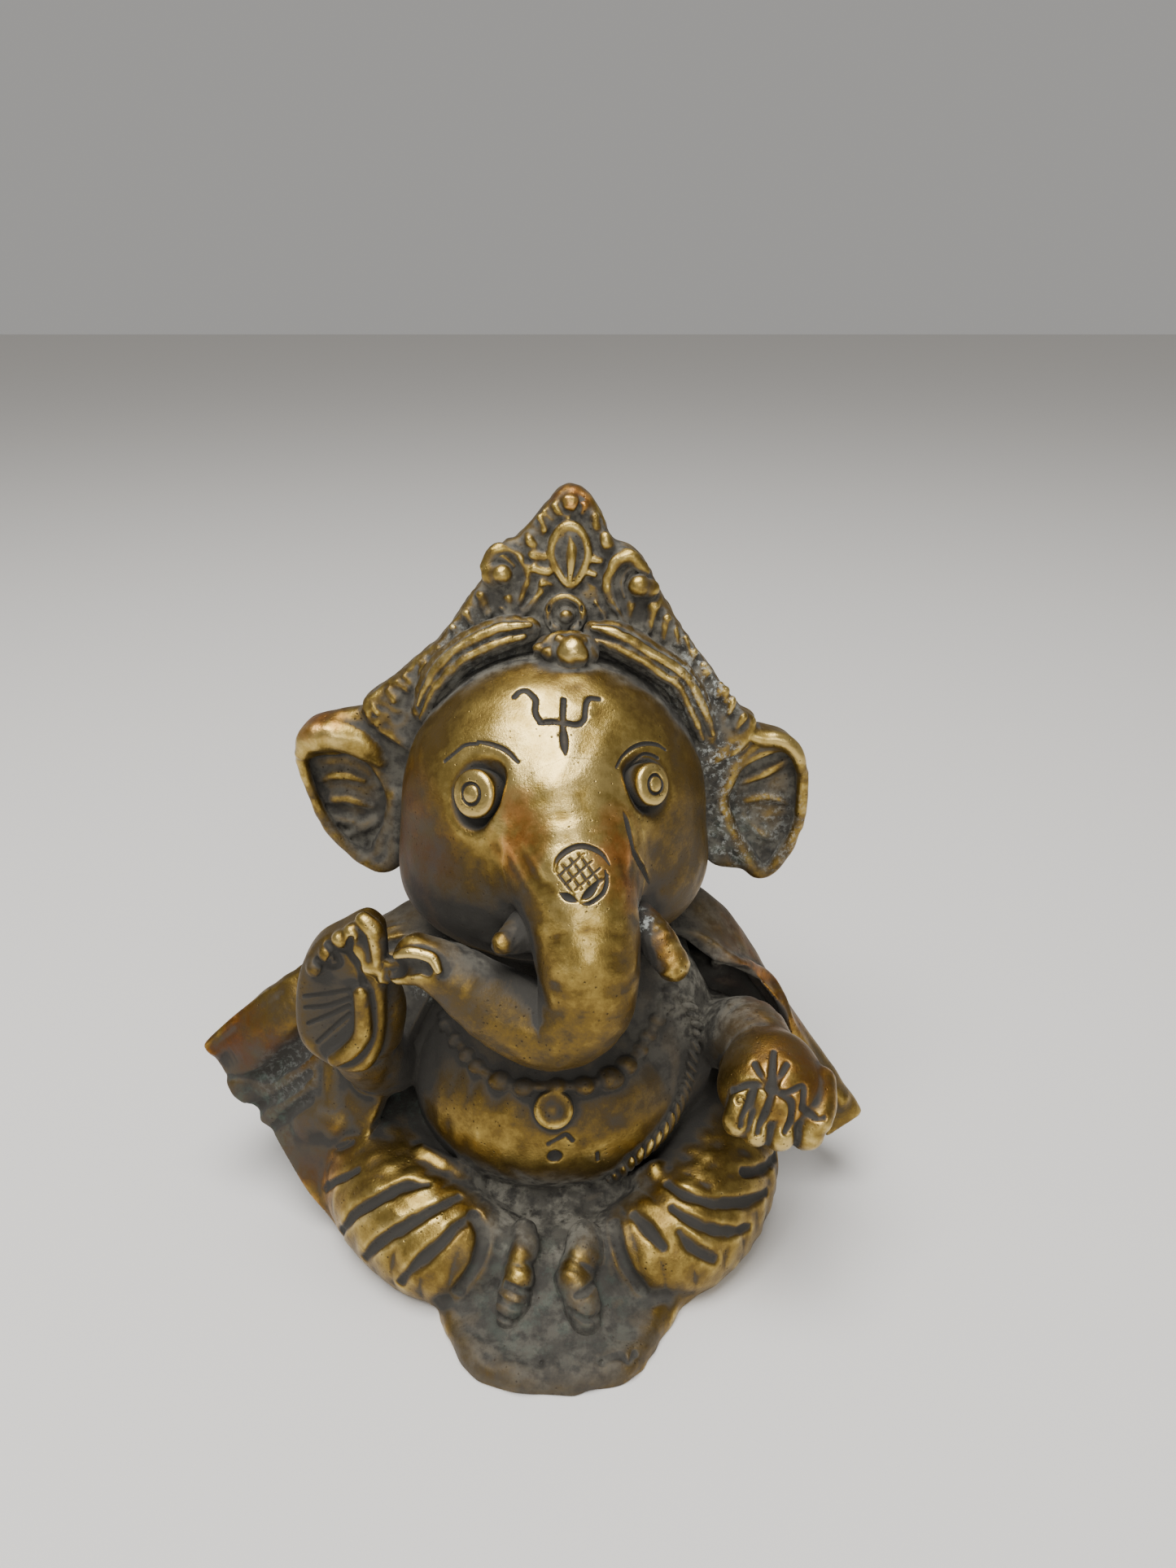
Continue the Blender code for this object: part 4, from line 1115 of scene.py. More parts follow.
def brow_ornament():
    at = Spot("brow_ornament")
    bed = ball(at(-0.4, 2.8, -0.4), (4.2, 2.4, 2.6))
    base = merge(head(), crown_slab(), bed, k=0.8)
    places = drape(base, at.face((0.3, 0.1), (-2.6, 0.2), (-3.7, 0.9), (-1.2, 1.9), (1.7, 1.8), (0.3, 1.5)))
    sizes = (
        (2.1, 1.7, 2.0), (0.95, 0.9, 0.9), (0.8, 0.7, 0.7), (0.7, 0.6, 0.6), (0.7, 0.6, 0.6), (1.5, 1.2, 1.0)
    )
    lumps = [ball(place, size) for place, size in zip(places, sizes)]
    return hammered(merge(bed, *lumps, k=0.35), 0.1, 2.2, 31)


# ---- ornaments on the chest ----


def necklace():
    at = Spot("necklace")
    places = (
        (-14.9, 5.8), (-14.1, 3.6), (-13.0, 1.2), (-11.6, -1.3), (-10.4, -3.1), (-7.4, -5.4), (-4.3, -6.5),
        (0.1, -6.4), (3.7, -6.3), (7.2, -5.0), (9.3, -2.9), (11.1, -0.3), (12.2, 2.0), (13.4, 4.5),
        (14.4, 6.8), (14.9, 9.0),
    )
    scales = (1.1,) * 5 + (1.45, 1.3, 1.2, 1.35, 1.7, 1.4) + (1.1,) * 5
    on = drape(torso(), at.face(*places))
    beads = [ball(place, np.array((1.15, 0.95, 0.9)) * scale) for place, scale in zip(on, scales)]
    return merge(tube(on, 0.65), *beads, k=0.3)


def pendant():
    at = Spot("pendant")
    middle, out = drape(torso(), at.face((0.1, 0.2), (0.1, 3.2)))
    toward = unit((EYE - middle) * (1, 1, 0.55))

    def disc(points):
        local = points - middle
        up = local @ toward
        off = length(local - up[:, None] * toward)
        top = 0.85 - 0.38 * np.exp(-((off / 1.6) ** 4))
        return soft_max(soft_max(up - top, off - 2.6, 0.5), -1.2 - up, 0.3)

    return merge(Shape(disc, middle - 3, middle + 3), ball(out, (0.9, 0.8, 0.6)), k=0.3)


TWISTS = 24
WORN_TWISTS = 10  # the ones at the top, which are worn smaller


def sacred_thread():
    """A cord over the left side, with a slanting swell for each twist."""
    at = Spot("sacred_thread")
    body = torso()
    way = at.face(
        (4.7, 17.1), (6.1, 13.9), (6.7, 11.6), (6.4, 8.4), (6.1, 5.7), (5.7, 3.0), (4.7, 0.0), (3.4, -3.5),
        (1.5, -6.7), (-1.0, -9.6), (-3.5, -12.5), (-6.4, -14.9),
    )
    line = drape(body, smooth(way, 8))
    steps = np.concatenate([[0], np.cumsum(length(np.diff(line, axis=0)))])
    places = np.linspace(0.4, steps[-1] - 0.4, TWISTS)
    spots = np.column_stack([np.interp(places, steps, line[:, k]) for k in range(3)])
    ahead = np.gradient(spots, axis=0)
    _, out, _ = gradient(body, spots, 0.3)
    twists = []
    for k, (place, way, up) in enumerate(zip(spots, ahead, out)):
        way, up = unit(way), unit(up)
        slant = way * 0.72 + np.cross(up, way) * 0.69
        size = 0.75 if k < WORN_TWISTS else 1.0
        turn = np.column_stack([slant, np.cross(up, slant), up])
        twists.append(ball(place + up * 0.35, np.array((1.85, 0.66, 0.9)) * size, turn))
    return merge(tube(line[::3], 0.55), *twists, k=0.15)


def neck():
    at = Spot("neck_tenon")
    rings = [ball(at(0, 0, z), (7.4, 7.4, 1.5)) for z in (-3.5, 0.0, 3.5)]
    return hammered(merge(tube(at.path((0, 0, -2), (0, 0, 2)), 6.6), *rings, k=1.0), 0.1, 3.0, 7)


# ---- from fields to meshes ----

# for each CAD node: what makes its shape, the softness of its joins, and its voxel
FORMS = {
    "torso": (torso, 1.2, 0.4),
    "dhoti_base": (dhoti, 1.2, 0.4),
    "cloak": (cloak, 1.0, 0.45),
    "neck_tenon": (neck, 1.0, 0.6),
    "head_shell": (engraved_head, 0.8, 0.4),
    "trunk": (trunk, 0.8, 0.35),
    "trunk_hand_web": (web, 0.8, 0.25),
    "tusk_right": (tusk_right, 0.8, 0.25),
    "tusk_left": (tusk_left, 0.6, 0.25),
    "eye_right": (lambda: eye("eye_right", 3.0), 0.2, 0.2),
    "eye_left": (lambda: eye("eye_left", 2.65), 0.2, 0.2),
    "ear_right": (ear_right, 1.2, 0.3),
    "ear_left": (ear_left, 1.2, 0.3),
    "crown_plate": (crown, 0.5, 0.3),
    "headband_right": (headband_right, 0.5, 0.25),
    "headband_left": (headband_left, 0.5, 0.25),
    "crown_jewel": (jewel, 0.4, 0.2),
    "crown_boss_right": (boss_right, 0.4, 0.2),
    "crown_boss_left": (boss_left, 0.4, 0.2),
    "crown_arch_ring": (arch_ring, 0.3, 0.2),
    "crown_bead": (bead, 0.3, 0.2),
    "brow_ornament": (brow_ornament, 0.5, 0.25),
    "arm_right": (arm_right, 1.0, 0.4),
    "hand_right": (hand_right, 0.8, 0.3),
    "arm_left": (arm_left, 1.0, 0.4),
    "bracelet_left": (bracelet, 0.4, 0.25),
    "hand_left": (hand_left, 0.8, 0.3),
    "necklace": (necklace, 0.4, 0.25),
    "pendant": (pendant, 0.3, 0.2),
    "sacred_thread": (sacred_thread, 0.3, 0.2),
    "foot_right": (foot_right, 1.0, 0.3),
    "foot_left": (foot_left, 1.0, 0.3),
}
MARK_EDGE = 0.1
FLATNESS = 0.012  # how far an edge's middle may be off the surface
SHORTEST_EDGE = 0.16
SPLIT_ROUNDS = 2


def join_of(name, other):
    if {name, other} == {"head_shell", "trunk"}:
        return FACE_JOIN
    return min(FORMS[name][1], FORMS[other][1])


def meet(a, b, margin):
    """Whether two shapes' boxes come within the margin of each other."""
    return (a.low - margin < b.high).all() and (b.low < a.high + margin).all()


def neighbours(name, made):
    """(shape, softness of the join) of each piece near this one. Widens the fields as far as joins need."""
    own = made[name]
    own.widen(2.0)
    near = [
        (made[other], join_of(name, other))
        for other in made if other != name and meet(made[other], own, 2)
    ]
    for shape, k in near:
        shape.widen(k + 0.5)
        own.widen(k + 0.5)
    return near


def share_of(name, made):
    """A piece's part of the whole idol: joined softly to its neighbours, and cut off just under them."""
    own = made[name]
    near = neighbours(name, made)
    shapes = [own] + [shape for shape, _ in near]
    marks = [mark for shape in shapes for mark in shape.marks if meet(own, mark, 1)]

    def field(points):
        mine = own(points)
        whole = mine
        rest = np.full(len(points), FAR_OFF)
        for shape, k in near:
            other = shape(points)
            whole = soft_min(whole, other, k)
            rest = np.minimum(rest, other)
        for mark in marks:
            whole = soft_max(whole, -mark(points), MARK_EDGE)
        under = np.maximum(mine - rest, 0.0)
        return np.maximum(whole + SINK * under, mine - rest - REACH)

    return Shape(field, own.low - 1.0, own.high + 1.0)


def in_chunks(shape, points):
    return np.concatenate([shape(points[k : k + CHUNK]) for k in range(0, len(points), CHUNK)])


def first_mesh(shape, voxel):
    """Points and quads of the surface, from samples on a grid that skips blocks with no surface in them."""
    side = BLOCK * voxel
    low = shape.low - voxel * 2
    blocks = np.ceil((shape.high + voxel * 2 - low) / side).astype(int)
    index = np.stack(np.meshgrid(*[np.arange(n) for n in blocks], indexing="ij"), -1).reshape(-1, 3)
    middle = in_chunks(shape, low + (index + 0.5) * side)
    values = np.zeros(blocks * BLOCK, np.float32)
    cap = 3 * voxel
    grid = values.reshape(blocks[0], BLOCK, blocks[1], BLOCK, blocks[2], BLOCK)
    grid[:] = np.where(middle > 0, cap, -cap).reshape(blocks)[:, None, :, None, :, None]
    busy = index[np.abs(middle) < side * 1.3]
    step = (np.stack(np.meshgrid(*[np.arange(BLOCK)] * 3, indexing="ij"), -1)).reshape(-1, 3)
    corners = (busy[:, None, :] * BLOCK + step[None]).reshape(-1, 3)
    found = in_chunks(shape, low + corners * voxel)
    values[tuple(corners.T)] = np.clip(found, -cap, cap)
    volume = openvdb.FloatGrid(background=cap)
    volume.copyFromArray(values, tolerance=0.0)
    points, quads = volume.convertToQuads(0.0)
    return low + np.asarray(points, float) * voxel, np.asarray(quads, np.int64)


def settle(shape, points, limit, rounds=2):
    """Moves points onto the surface."""
    for _ in range(rounds):
        value, slope, _ = chunked_gradient(shape, points, 0.06)
        move = slope * (value / np.maximum((slope * slope).sum(1), 0.3))[:, None]
        size = np.maximum(length(move), 1e-9)
        points = points - move * np.minimum(1.0, limit / size)[:, None]
    return points


def chunked_gradient(shape, points, step):
    parts = [gradient(shape, points[k : k + CHUNK], step) for k in range(0, len(points), CHUNK)]
    return [np.concatenate(column) for column in zip(*parts)]


def refine(shape, points, faces):
    """Splits the edges whose middles are off the surface, unless they are short."""
    for _ in range(SPLIT_ROUNDS):
        pairs = np.sort(np.concatenate([faces[:, [0, 1]], faces[:, [1, 2]], faces[:, [2, 0]]]), 1)
        key, where = np.unique(pairs[:, 0] * len(points) + pairs[:, 1], return_inverse=True)
        ends = np.stack([key // len(points), key % len(points)], 1)
        middle = points[ends].mean(1)
        size = length(points[ends[:, 0]] - points[ends[:, 1]])
        off = np.abs(in_chunks(shape, middle))
        split = (off > FLATNESS) & (size > SHORTEST_EDGE)
        if not split.any():
            break
        number = np.full(len(key), -1)
        number[split] = len(points) + np.arange(split.sum())
        points = np.concatenate([points, settle(shape, middle[split], 0.3, 1)])
        faces = split_faces(faces, number[where.reshape(3, -1).T])
    return points, faces


def split_faces(faces, mids):
    """Cuts triangles at their edges' new middle points (-1 for none)."""
    count = (mids >= 0).sum(1)
    made = [faces[count == 0]]
    one, two, all_three = count == 1, count == 2, count == 3
    f, m = turned(faces[one], mids[one], np.argmax(mids[one] >= 0, 1))
    made += [np.stack([f[:, 0], m[:, 0], f[:, 2]], 1), np.stack([m[:, 0], f[:, 1], f[:, 2]], 1)]
    f, m = turned(faces[two], mids[two], (np.argmin(mids[two], 1) + 1) % 3)
    made += [
        np.stack([m[:, 0], f[:, 1], m[:, 1]], 1),
        np.stack([f[:, 0], m[:, 0], m[:, 1]], 1),
        np.stack([f[:, 0], m[:, 1], f[:, 2]], 1),
    ]
    f, m = faces[all_three], mids[all_three]
    made += [
        np.stack([f[:, 0], m[:, 0], m[:, 2]], 1),
        np.stack([m[:, 0], f[:, 1], m[:, 1]], 1),
        np.stack([m[:, 2], m[:, 1], f[:, 2]], 1),
        m,
    ]
    return np.concatenate(made)


def turned(faces, mids, first):
    """Rotates each row so that it starts at its own first."""
    order = (first[:, None] + np.arange(3)) % 3
    return np.take_along_axis(faces, order, 1), np.take_along_axis(mids, order, 1)


def main_bodies(points, faces, least=0.02):
    """Drops the loose bits that are smaller than this share of the biggest one."""
    label = np.arange(len(points))
    edges = np.concatenate([faces[:, [0, 1]], faces[:, [1, 2]]])
    while True:
        low = np.minimum(label[edges[:, 0]], label[edges[:, 1]])
        after = label.copy()
        np.minimum.at(after, edges[:, 0], low)
        np.minimum.at(after, edges[:, 1], low)
        after = after[after]
        if (after == label).all():
            break
        label = after
    _, group, size = np.unique(label, return_inverse=True, return_counts=True)
    keep = (size >= least * size.max())[group]
    number = np.cumsum(keep) - 1
    faces = number[faces[keep[faces[:, 0]]]]
    return points[keep], faces


def sculpt(shape, voxel):
    points, quads = first_mesh(shape, voxel)
    points = settle(shape, points, voxel)
    a, b, c, d = quads.T
    short = length(points[a] - points[c]) < length(points[b] - points[d])
    faces = np.where(
        short[:, None], np.stack([a, b, c, a, c, d], 1), np.stack([a, b, d, b, c, d], 1)
    ).reshape(-1, 3)
    faces = faces[:, ::-1] if facing_in(shape, points, faces) else faces
    points, faces = refine(shape, points, faces)
    return main_bodies(points, faces)


def facing_in(shape, points, faces):
    tri = points[faces[:: max(1, len(faces) // 500)]]
    normal = np.cross(tri[:, 1] - tri[:, 0], tri[:, 2] - tri[:, 0])
    _, slope, _ = gradient(shape, tri.mean(1), 0.1)
    return (normal * slope).sum() < 0


def mesh_object(name, points, faces):
    mesh = bpy.data.meshes.new(name)
    mesh.vertices.add(len(points))
    mesh.vertices.foreach_set("co", (points * MM).astype(np.float32).ravel())
    mesh.loops.add(faces.size)
    mesh.loops.foreach_set("vertex_index", faces.astype(np.int32).ravel())
    mesh.polygons.add(len(faces))
    mesh.polygons.foreach_set("loop_start", np.arange(0, faces.size, 3, dtype=np.int32))
    mesh.polygons.foreach_set("use_smooth", np.ones(len(faces), bool))
    mesh.update(calc_edges=True)
    return add(name, mesh)


# ---- wear, dirt, and painted shade, highlight and reflection ----


BENDS = ((0.22, 0.3), (0.7, 0.9))  # fine and coarse: how far apart the samples are, and a scale
AIR_VOXEL = 0.6
AIR_BAND = 12
AIR_STEPS = ((0.9, 0.2), (1.8, 0.25), (3.4, 0.3), (6.0, 0.25))  # distance from the surface, weight


def surface_bend(shape, points):
    """How sharply the surface bulges (above 0) or dips (below), at a fine and at a coarse scale."""
    return [np.clip(chunked_gradient(shape, points, step)[2] * scale, -1, 1) for step, scale in BENDS]


class Air:
    """Distance to the whole idol, for how far a place is shut in."""

    def __init__(self, meshes):
        count = np.cumsum([0] + [len(points) for points, _ in meshes[:-1]])
        points = np.concatenate([points for points, _ in meshes])
        faces = np.concatenate([faces + start for (_, faces), start in zip(meshes, count)])
        self.low, self.values = level_set(points, faces, AIR_VOXEL, AIR_BAND)

    def __call__(self, points):
        return trilinear(self.values, (points - self.low) / AIR_VOXEL)


def occlusion_shade(air, points, normals):
    """Painted shade: 0 in the open, towards 1 in a hole, where the colour is darkened."""
    total = np.zeros(len(points))
    for step, share in AIR_STEPS:
        room = (air(points + normals * step) + 0.15) / step
        total += share * np.clip(room, 0, 1)
    return 1.0 - total


def zones():
    """Places that handling or damp has marked, and places with painted shade, painted highlights and a
    painted red reflection, as ellipsoids: node, offset, radii, strength.
    """
    # polish from handling, and painted highlights on the forehead and lower belly
    rubbed_and_highlight = (
        # partly real polish, partly a painted highlight on the forehead
        ("head_shell", (0, -13, 9), (17, 14, 15), 0.95),
        ("trunk", (7.6, -6, 8), (7, 9, 13), 0.8),
        ("trunk", (8.5, -8, -8), (7, 8, 10), 0.12),
        ("trunk", (-1, -5, -14), (13, 8, 6), 0.2),
        ("trunk", (-12, -3, -3), (4, 4, 3.4), 0.4),
        # partly real polish, partly a painted highlight on the lower belly
        ("torso", (-5, -13, -8), (17, 12, 9), 0.85),
        ("torso", (9, -11, -9), (10, 9, 9), 0.6),
        ("ear_right", (-3, -2, 8), (8, 5, 4.5), 0.8),
        ("ear_left", (3, -2, 9), (8, 5, 5), 0.3),
        ("hand_right", (4.0, -3, 6), (3, 5, 6), 0.6),
        ("hand_right", (1.8, -3, -6), (3, 5, 8), 0.6),
        ("hand_left", (0, -5, -4), (9, 5, 5), 0.5),
        ("foot_right", (-0.3, -1.6, 1.5), (2.5, 3, 3), 0.9),
        ("foot_left", (-0.4, -1.4, 1.5), (2.6, 3, 3), 0.9),
        ("dhoti_base", (-21, -11, 2), (14, 14, 12), 0.45),
        ("dhoti_base", (22, -11, 1), (14, 14, 12), 0.38),
        ("crown_plate", (1.5, -4, 9), (8, 6, 10), 0.3),
        ("crown_plate", (0, -6, 0), (34, 6, 20), 0.3),
        ("brow_ornament", (0.5, -2, 0), (3, 4, 3), 0.7),
        ("sacred_thread", (-4, -4, -9), (8, 8, 9), 0.4),
        ("tusk_left", (2, -2, -1), (4, 4, 4), 0.2),
    )
    # grime, and painted shade under the head and in the hollow under the cloak's edge
    grime_and_shade = (
        # painted shade: the neck in the shade under the head
        ("neck_tenon", (0, -4, -4), (24, 16, 8), 0.9),
        ("trunk", (-6, 2, -4), (7, 6, 5.5), 0.9),
        ("trunk", (-3, -2, -9), (9, 8, 7), 0.5),
        ("trunk", (5, -6, -15), (9, 8, 5), 0.35),
        ("head_shell", (-14, -8, -6), (10, 12, 13), 0.65),
        ("arm_left", (-2, -2, 3), (9, 13, 7), 0.5),
        ("trunk", (8, -6, -6), (7, 8, 8), 0.15),
        ("head_shell", (14, -8, -6), (9, 12, 12), 0.25),
        ("cloak", (-38, -8, -8), (15, 14, 13), 0.9),
        ("trunk", (0, 2, 0), (6, 8, 7), 0.6),
        # painted shade on the upper chest under the head
        ("torso", (0, -8, 8), (20, 14, 10), 0.85),
        ("torso", (19, -1, 2), (7, 12, 18), 0.7),
        ("dhoti_base", (1, -19, -5), (13, 16, 12), 0.9),
        ("dhoti_base", (0, -8, 2), (17, 10, 8), 0.6),
        ("dhoti_base", (1, -28, -7), (19, 9, 6), 0.9),
        ("foot_right", (0, 5, 3), (5, 5, 5), 0.5),
        ("foot_left", (0, 5, 3), (5, 5, 5), 0.5),
        ("cloak", (0, 0, 0), (60, 40, 40), 0.35),
        ("hand_right", (-2, -2, -1), (6, 5, 11), 0.9),
        ("arm_right", (0, 0, 0), (12, 14, 12), 0.5),
        ("crown_plate", (0, 0, -2), (40, 12, 24), 0.15),
        ("ear_right", (0, -1, -6), (10, 6, 9), 0.5),
        ("ear_left", (2, -1, -4), (9, 5, 9), 0.4),
        # painted shade in the dark hollow under the cloak's edge, over the left arm
        ("cloak", (28.5, -5, 3.5), (8, 8, 4.5), 1.0),
        ("brow_ornament", (-3, 0, 0), (2, 3, 3), 0.3),
    )
    # reddish patina, with a reddish cast that paints the reflection of red surroundings
    red_tint_and_reflection = (
        ("trunk", (0.5, 3, 11), (4.5, 6, 6), 0.65),
        ("trunk", (12.8, 1, 9), (4.5, 6, 8), 0.65),
        ("head_shell", (-15, -6, -4), (9, 10, 13), 0.6),
        ("crown_plate", (1.6, -2, 17), (5, 5, 3), 0.8),
        ("cloak", (33, 0, 10), (14, 16, 12), 0.6),
        ("cloak", (-42, -5, 2), (14, 12, 6), 0.7),
        ("arm_left", (5, -4, 2), (8, 10, 8), 0.3),
        ("hand_left", (2, 0, 2), (8, 8, 6), 0.5),
        ("dhoti_base", (-32, -2, 0), (8, 12, 9), 0.4),
        ("ear_right", (-5, 0, 11), (5, 5, 3), 0.6),
        ("tusk_left", (0, 0, 0), (6, 6, 6), 0.4),
    )
    chalk = (
        ("ear_left", (-5, -2, 8), (4, 4, 4), 0.8),
        ("ear_left", (-3, -2, -2), (5, 4, 9), 0.5),
        ("ear_left", (3, -2, -2), (5, 4, 8), 0.45),
        ("crown_plate", (19, -3, -6), (7, 5, 7), 0.55),
        ("tusk_left", (-2, -1, 3), (3, 3, 3), 0.9),
        ("cloak", (-34, -6, -3), (8, 8, 8), 0.15),
        ("neck_tenon", (-16, -4, -6), (5, 6, 5), 0.6),
        ("crown_plate", (-12, -3, -2), (9, 5, 6), 0.2),
    )
    green = (
        ("cloak", (-38, -6, -10), (10, 10, 10), 0.4),
        ("ear_left", (-1, -2, -4), (6, 4, 7), 0.35),
        ("dhoti_base", (-24, 4, 6), (12, 8, 6), 0.4),
        ("dhoti_base", (0, -22, -4), (14, 10, 8), 0.2),
    )
    dusty = (
        ("dhoti_base", (0, -9, 0), (17, 11, 9), 1.0),
        ("dhoti_base", (1, -26, -6), (20, 12, 8), 0.5),
        ("crown_plate", (0, 0, 0), (42, 14, 26), 0.8),
        ("ear_left", (0, 0, 0), (12, 8, 15), 0.8),
        ("ear_right", (1, 0, -3), (12, 8, 12), 0.7),
        ("arm_left", (-2, -2, 3), (9, 13, 7), 0.9),
        ("torso", (14, -4, 2), (8, 13, 16), 0.4),
        ("cloak", (20, 0, 14), (14, 14, 9), 0.7),
        ("cloak", (-22, -2, 12), (10, 14, 12), 0.5),
        ("foot_left", (0, 4, 2), (5, 5, 5), 0.9),
        ("foot_right", (0, 4, 2), (5, 5, 5), 0.9),
        ("trunk", (-7, 0, -3), (7, 6, 4), 0.5),
    )
    return {"rubbed_and_highlight": rubbed_and_highlight, "grime_and_shade": grime_and_shade, "red_tint_and_reflection": red_tint_and_reflection, "chalk": chalk, "green": green, "dusty": dusty}


def zone_weight(points, marks):
    total = np.zeros(len(points))
    for node, offset, radii, strength in marks:
        inside = 1.0 - (((points - Spot(node)(*offset)) / radii) ** 2).sum(1)
        total += strength * np.clip(inside, 0, 1) ** 0.8
    return total


def store(mesh, name, values):
    mesh.attributes.new(name, "FLOAT", "POINT").data.foreach_set("value", np.asarray(values, np.float32))


# ---- material ----

# reddish patina colour that also paints a red reflection
RED_TINT_AND_REFLECTION = (1.2, 0.5, 0.3)
DUST = (0.175, 0.163, 0.13)
VERDIGRIS = (0.13, 0.22, 0.17)
CHALK = (0.50, 0.52, 0.48)
PIT = (0.03, 0.022, 0.015)
BUMP = 0.22


class Graph:
    """Builds a node material. A value is a number or the output of a node, and sizes are in millimetres."""

    def __init__(self, name):
        self.material = bpy.data.materials.new(name)
        self.material.use_nodes = True
        self.tree = self.material.node_tree
        self.shader = self.tree.nodes["Principled BSDF"]
        self.places = self.make("ShaderNodeTexCoord").outputs["Object"]

    def make(self, kind, inputs=(), **settings):
        node = self.tree.nodes.new(kind)
        for name, value in settings.items():
            setattr(node, name, value)
        for name, value in dict(inputs).items():
            self.put(node.inputs[name], value)
        return node

    def put(self, socket, value):
        if isinstance(value, bpy.types.NodeSocket):
            self.tree.links.new(value, socket)
        else:
            socket.default_value = value

    def attribute(self, name):
        return self.make("ShaderNodeAttribute", attribute_name=name).outputs["Fac"]

    def math(self, operation, a, b=0.0, clamp=False):
        return self.make("ShaderNodeMath", {0: a, 1: b}, operation=operation, use_clamp=clamp).outputs[0]

    def sum(self, *terms):
        """Adds (value, share) pairs."""
        total = 0.0
        for value, share in terms:
            total = self.math("ADD", total, self.math("MULTIPLY", value, share))
        return total

    def noise(self, size, detail, rough=0.55, stretch=None):
        places = self.places
        if stretch:
            places = self.make("ShaderNodeMapping", {"Vector": places, "Scale": stretch}).outputs[0]
        inputs = {"Vector": places, "Scale": 1 / (size * MM), "Detail": detail, "Roughness": rough}
        return self.make("ShaderNodeTexNoise", inputs).outputs["Fac"]

    def spots(self, size):
        """Distance to scattered points, as a share of their spacing."""
        inputs = {"Vector": self.places, "Scale": 1 / (size * MM)}
        return self.make("ShaderNodeTexVoronoi", inputs).outputs["Distance"]

    def step(self, value, low, high):
        """0 at low, 1 at high, and smooth between them."""
        inputs = {"Value": value, "From Min": low, "From Max": high}
        return self.make("ShaderNodeMapRange", inputs, interpolation_type="SMOOTHSTEP").outputs[0]

    def ramp(self, value, *stops):
        """Colours, or plain values, at places along a scale from 0 to 1."""
        node = self.make("ShaderNodeValToRGB", {"Fac": value})
        for k, (place, colour) in enumerate(stops):
            stop = node.color_ramp.elements[k] if k < 2 else node.color_ramp.elements.new(place)
            stop.position = place
            stop.color = (*colour, 1) if isinstance(colour, tuple) else (colour, colour, colour, 1)
        return node.outputs["Color"]

    def mix(self, share, colour, other, **settings):
        node = self.make("ShaderNodeMix", data_type="RGBA", **settings)
        self.put(node.inputs["Factor"], share)
        self.put(node.inputs[6], colour)  # 6 and 7 are its inputs for colours, and 2 is its output for one
        self.put(node.inputs[7], (*other, 1))
        return node.outputs[2]


def bare_metal_and_painted_light(g, cloud, mottle, grain):
    """How bright the metal is, from 0 in old grime and painted shade to 1 on worn edges, in handled places
    and under painted highlights.
    """
    fine, coarse, grime_and_shade = g.attribute("fine_edge"), g.attribute("edge"), g.attribute("grime_and_shade")
    keen = g.math("SUBTRACT", 1.0, g.math("MULTIPLY", grime_and_shade, 0.7, clamp=True))
    keen = g.math("MULTIPLY", keen, g.step(g.noise(2.6, 4, 0.6), 0.3, 0.6))
    shine = g.sum(
        (g.attribute("rubbed_and_highlight"), 0.42),
        (grime_and_shade, -0.38),
        # painted shade: darker where the surface is shut in
        (g.attribute("hollow"), -1.0),
        (g.math("MULTIPLY", fine, keen), 0.2),
        (g.math("MULTIPLY", coarse, keen), 0.3),
        (g.attribute("groove"), -0.6),
        (cloud, 0.4),
        (mottle, 0.5),
        (grain, 0.14),
    )
    return g.math("ADD", shine, 0.02)


def dust_share(g, shine, mottle):
    """Grey dust, which clings where the metal is dull and shut in."""
    dusty, hollow = g.attribute("dusty"), g.attribute("hollow")
    dust = g.sum((dusty, 0.65), (g.math("MULTIPLY", dusty, hollow), 0.5), (hollow, 0.05))
    dust = g.math("MULTIPLY", dust, g.step(mottle, 0.32, 0.6), clamp=True)
    dust = g.math("MULTIPLY", dust, g.math("ADD", 0.3, g.step(g.noise(4.0, 4, 0.6), 0.4, 0.6), clamp=True))
    return g.math("MULTIPLY", dust, g.step(shine, 0.8, 0.35))


def zone_share(g, zone, noise, low, high):
    """A zone, broken up by noise."""
    return g.math("MULTIPLY", g.attribute(zone), g.step(noise, low, high), clamp=True)


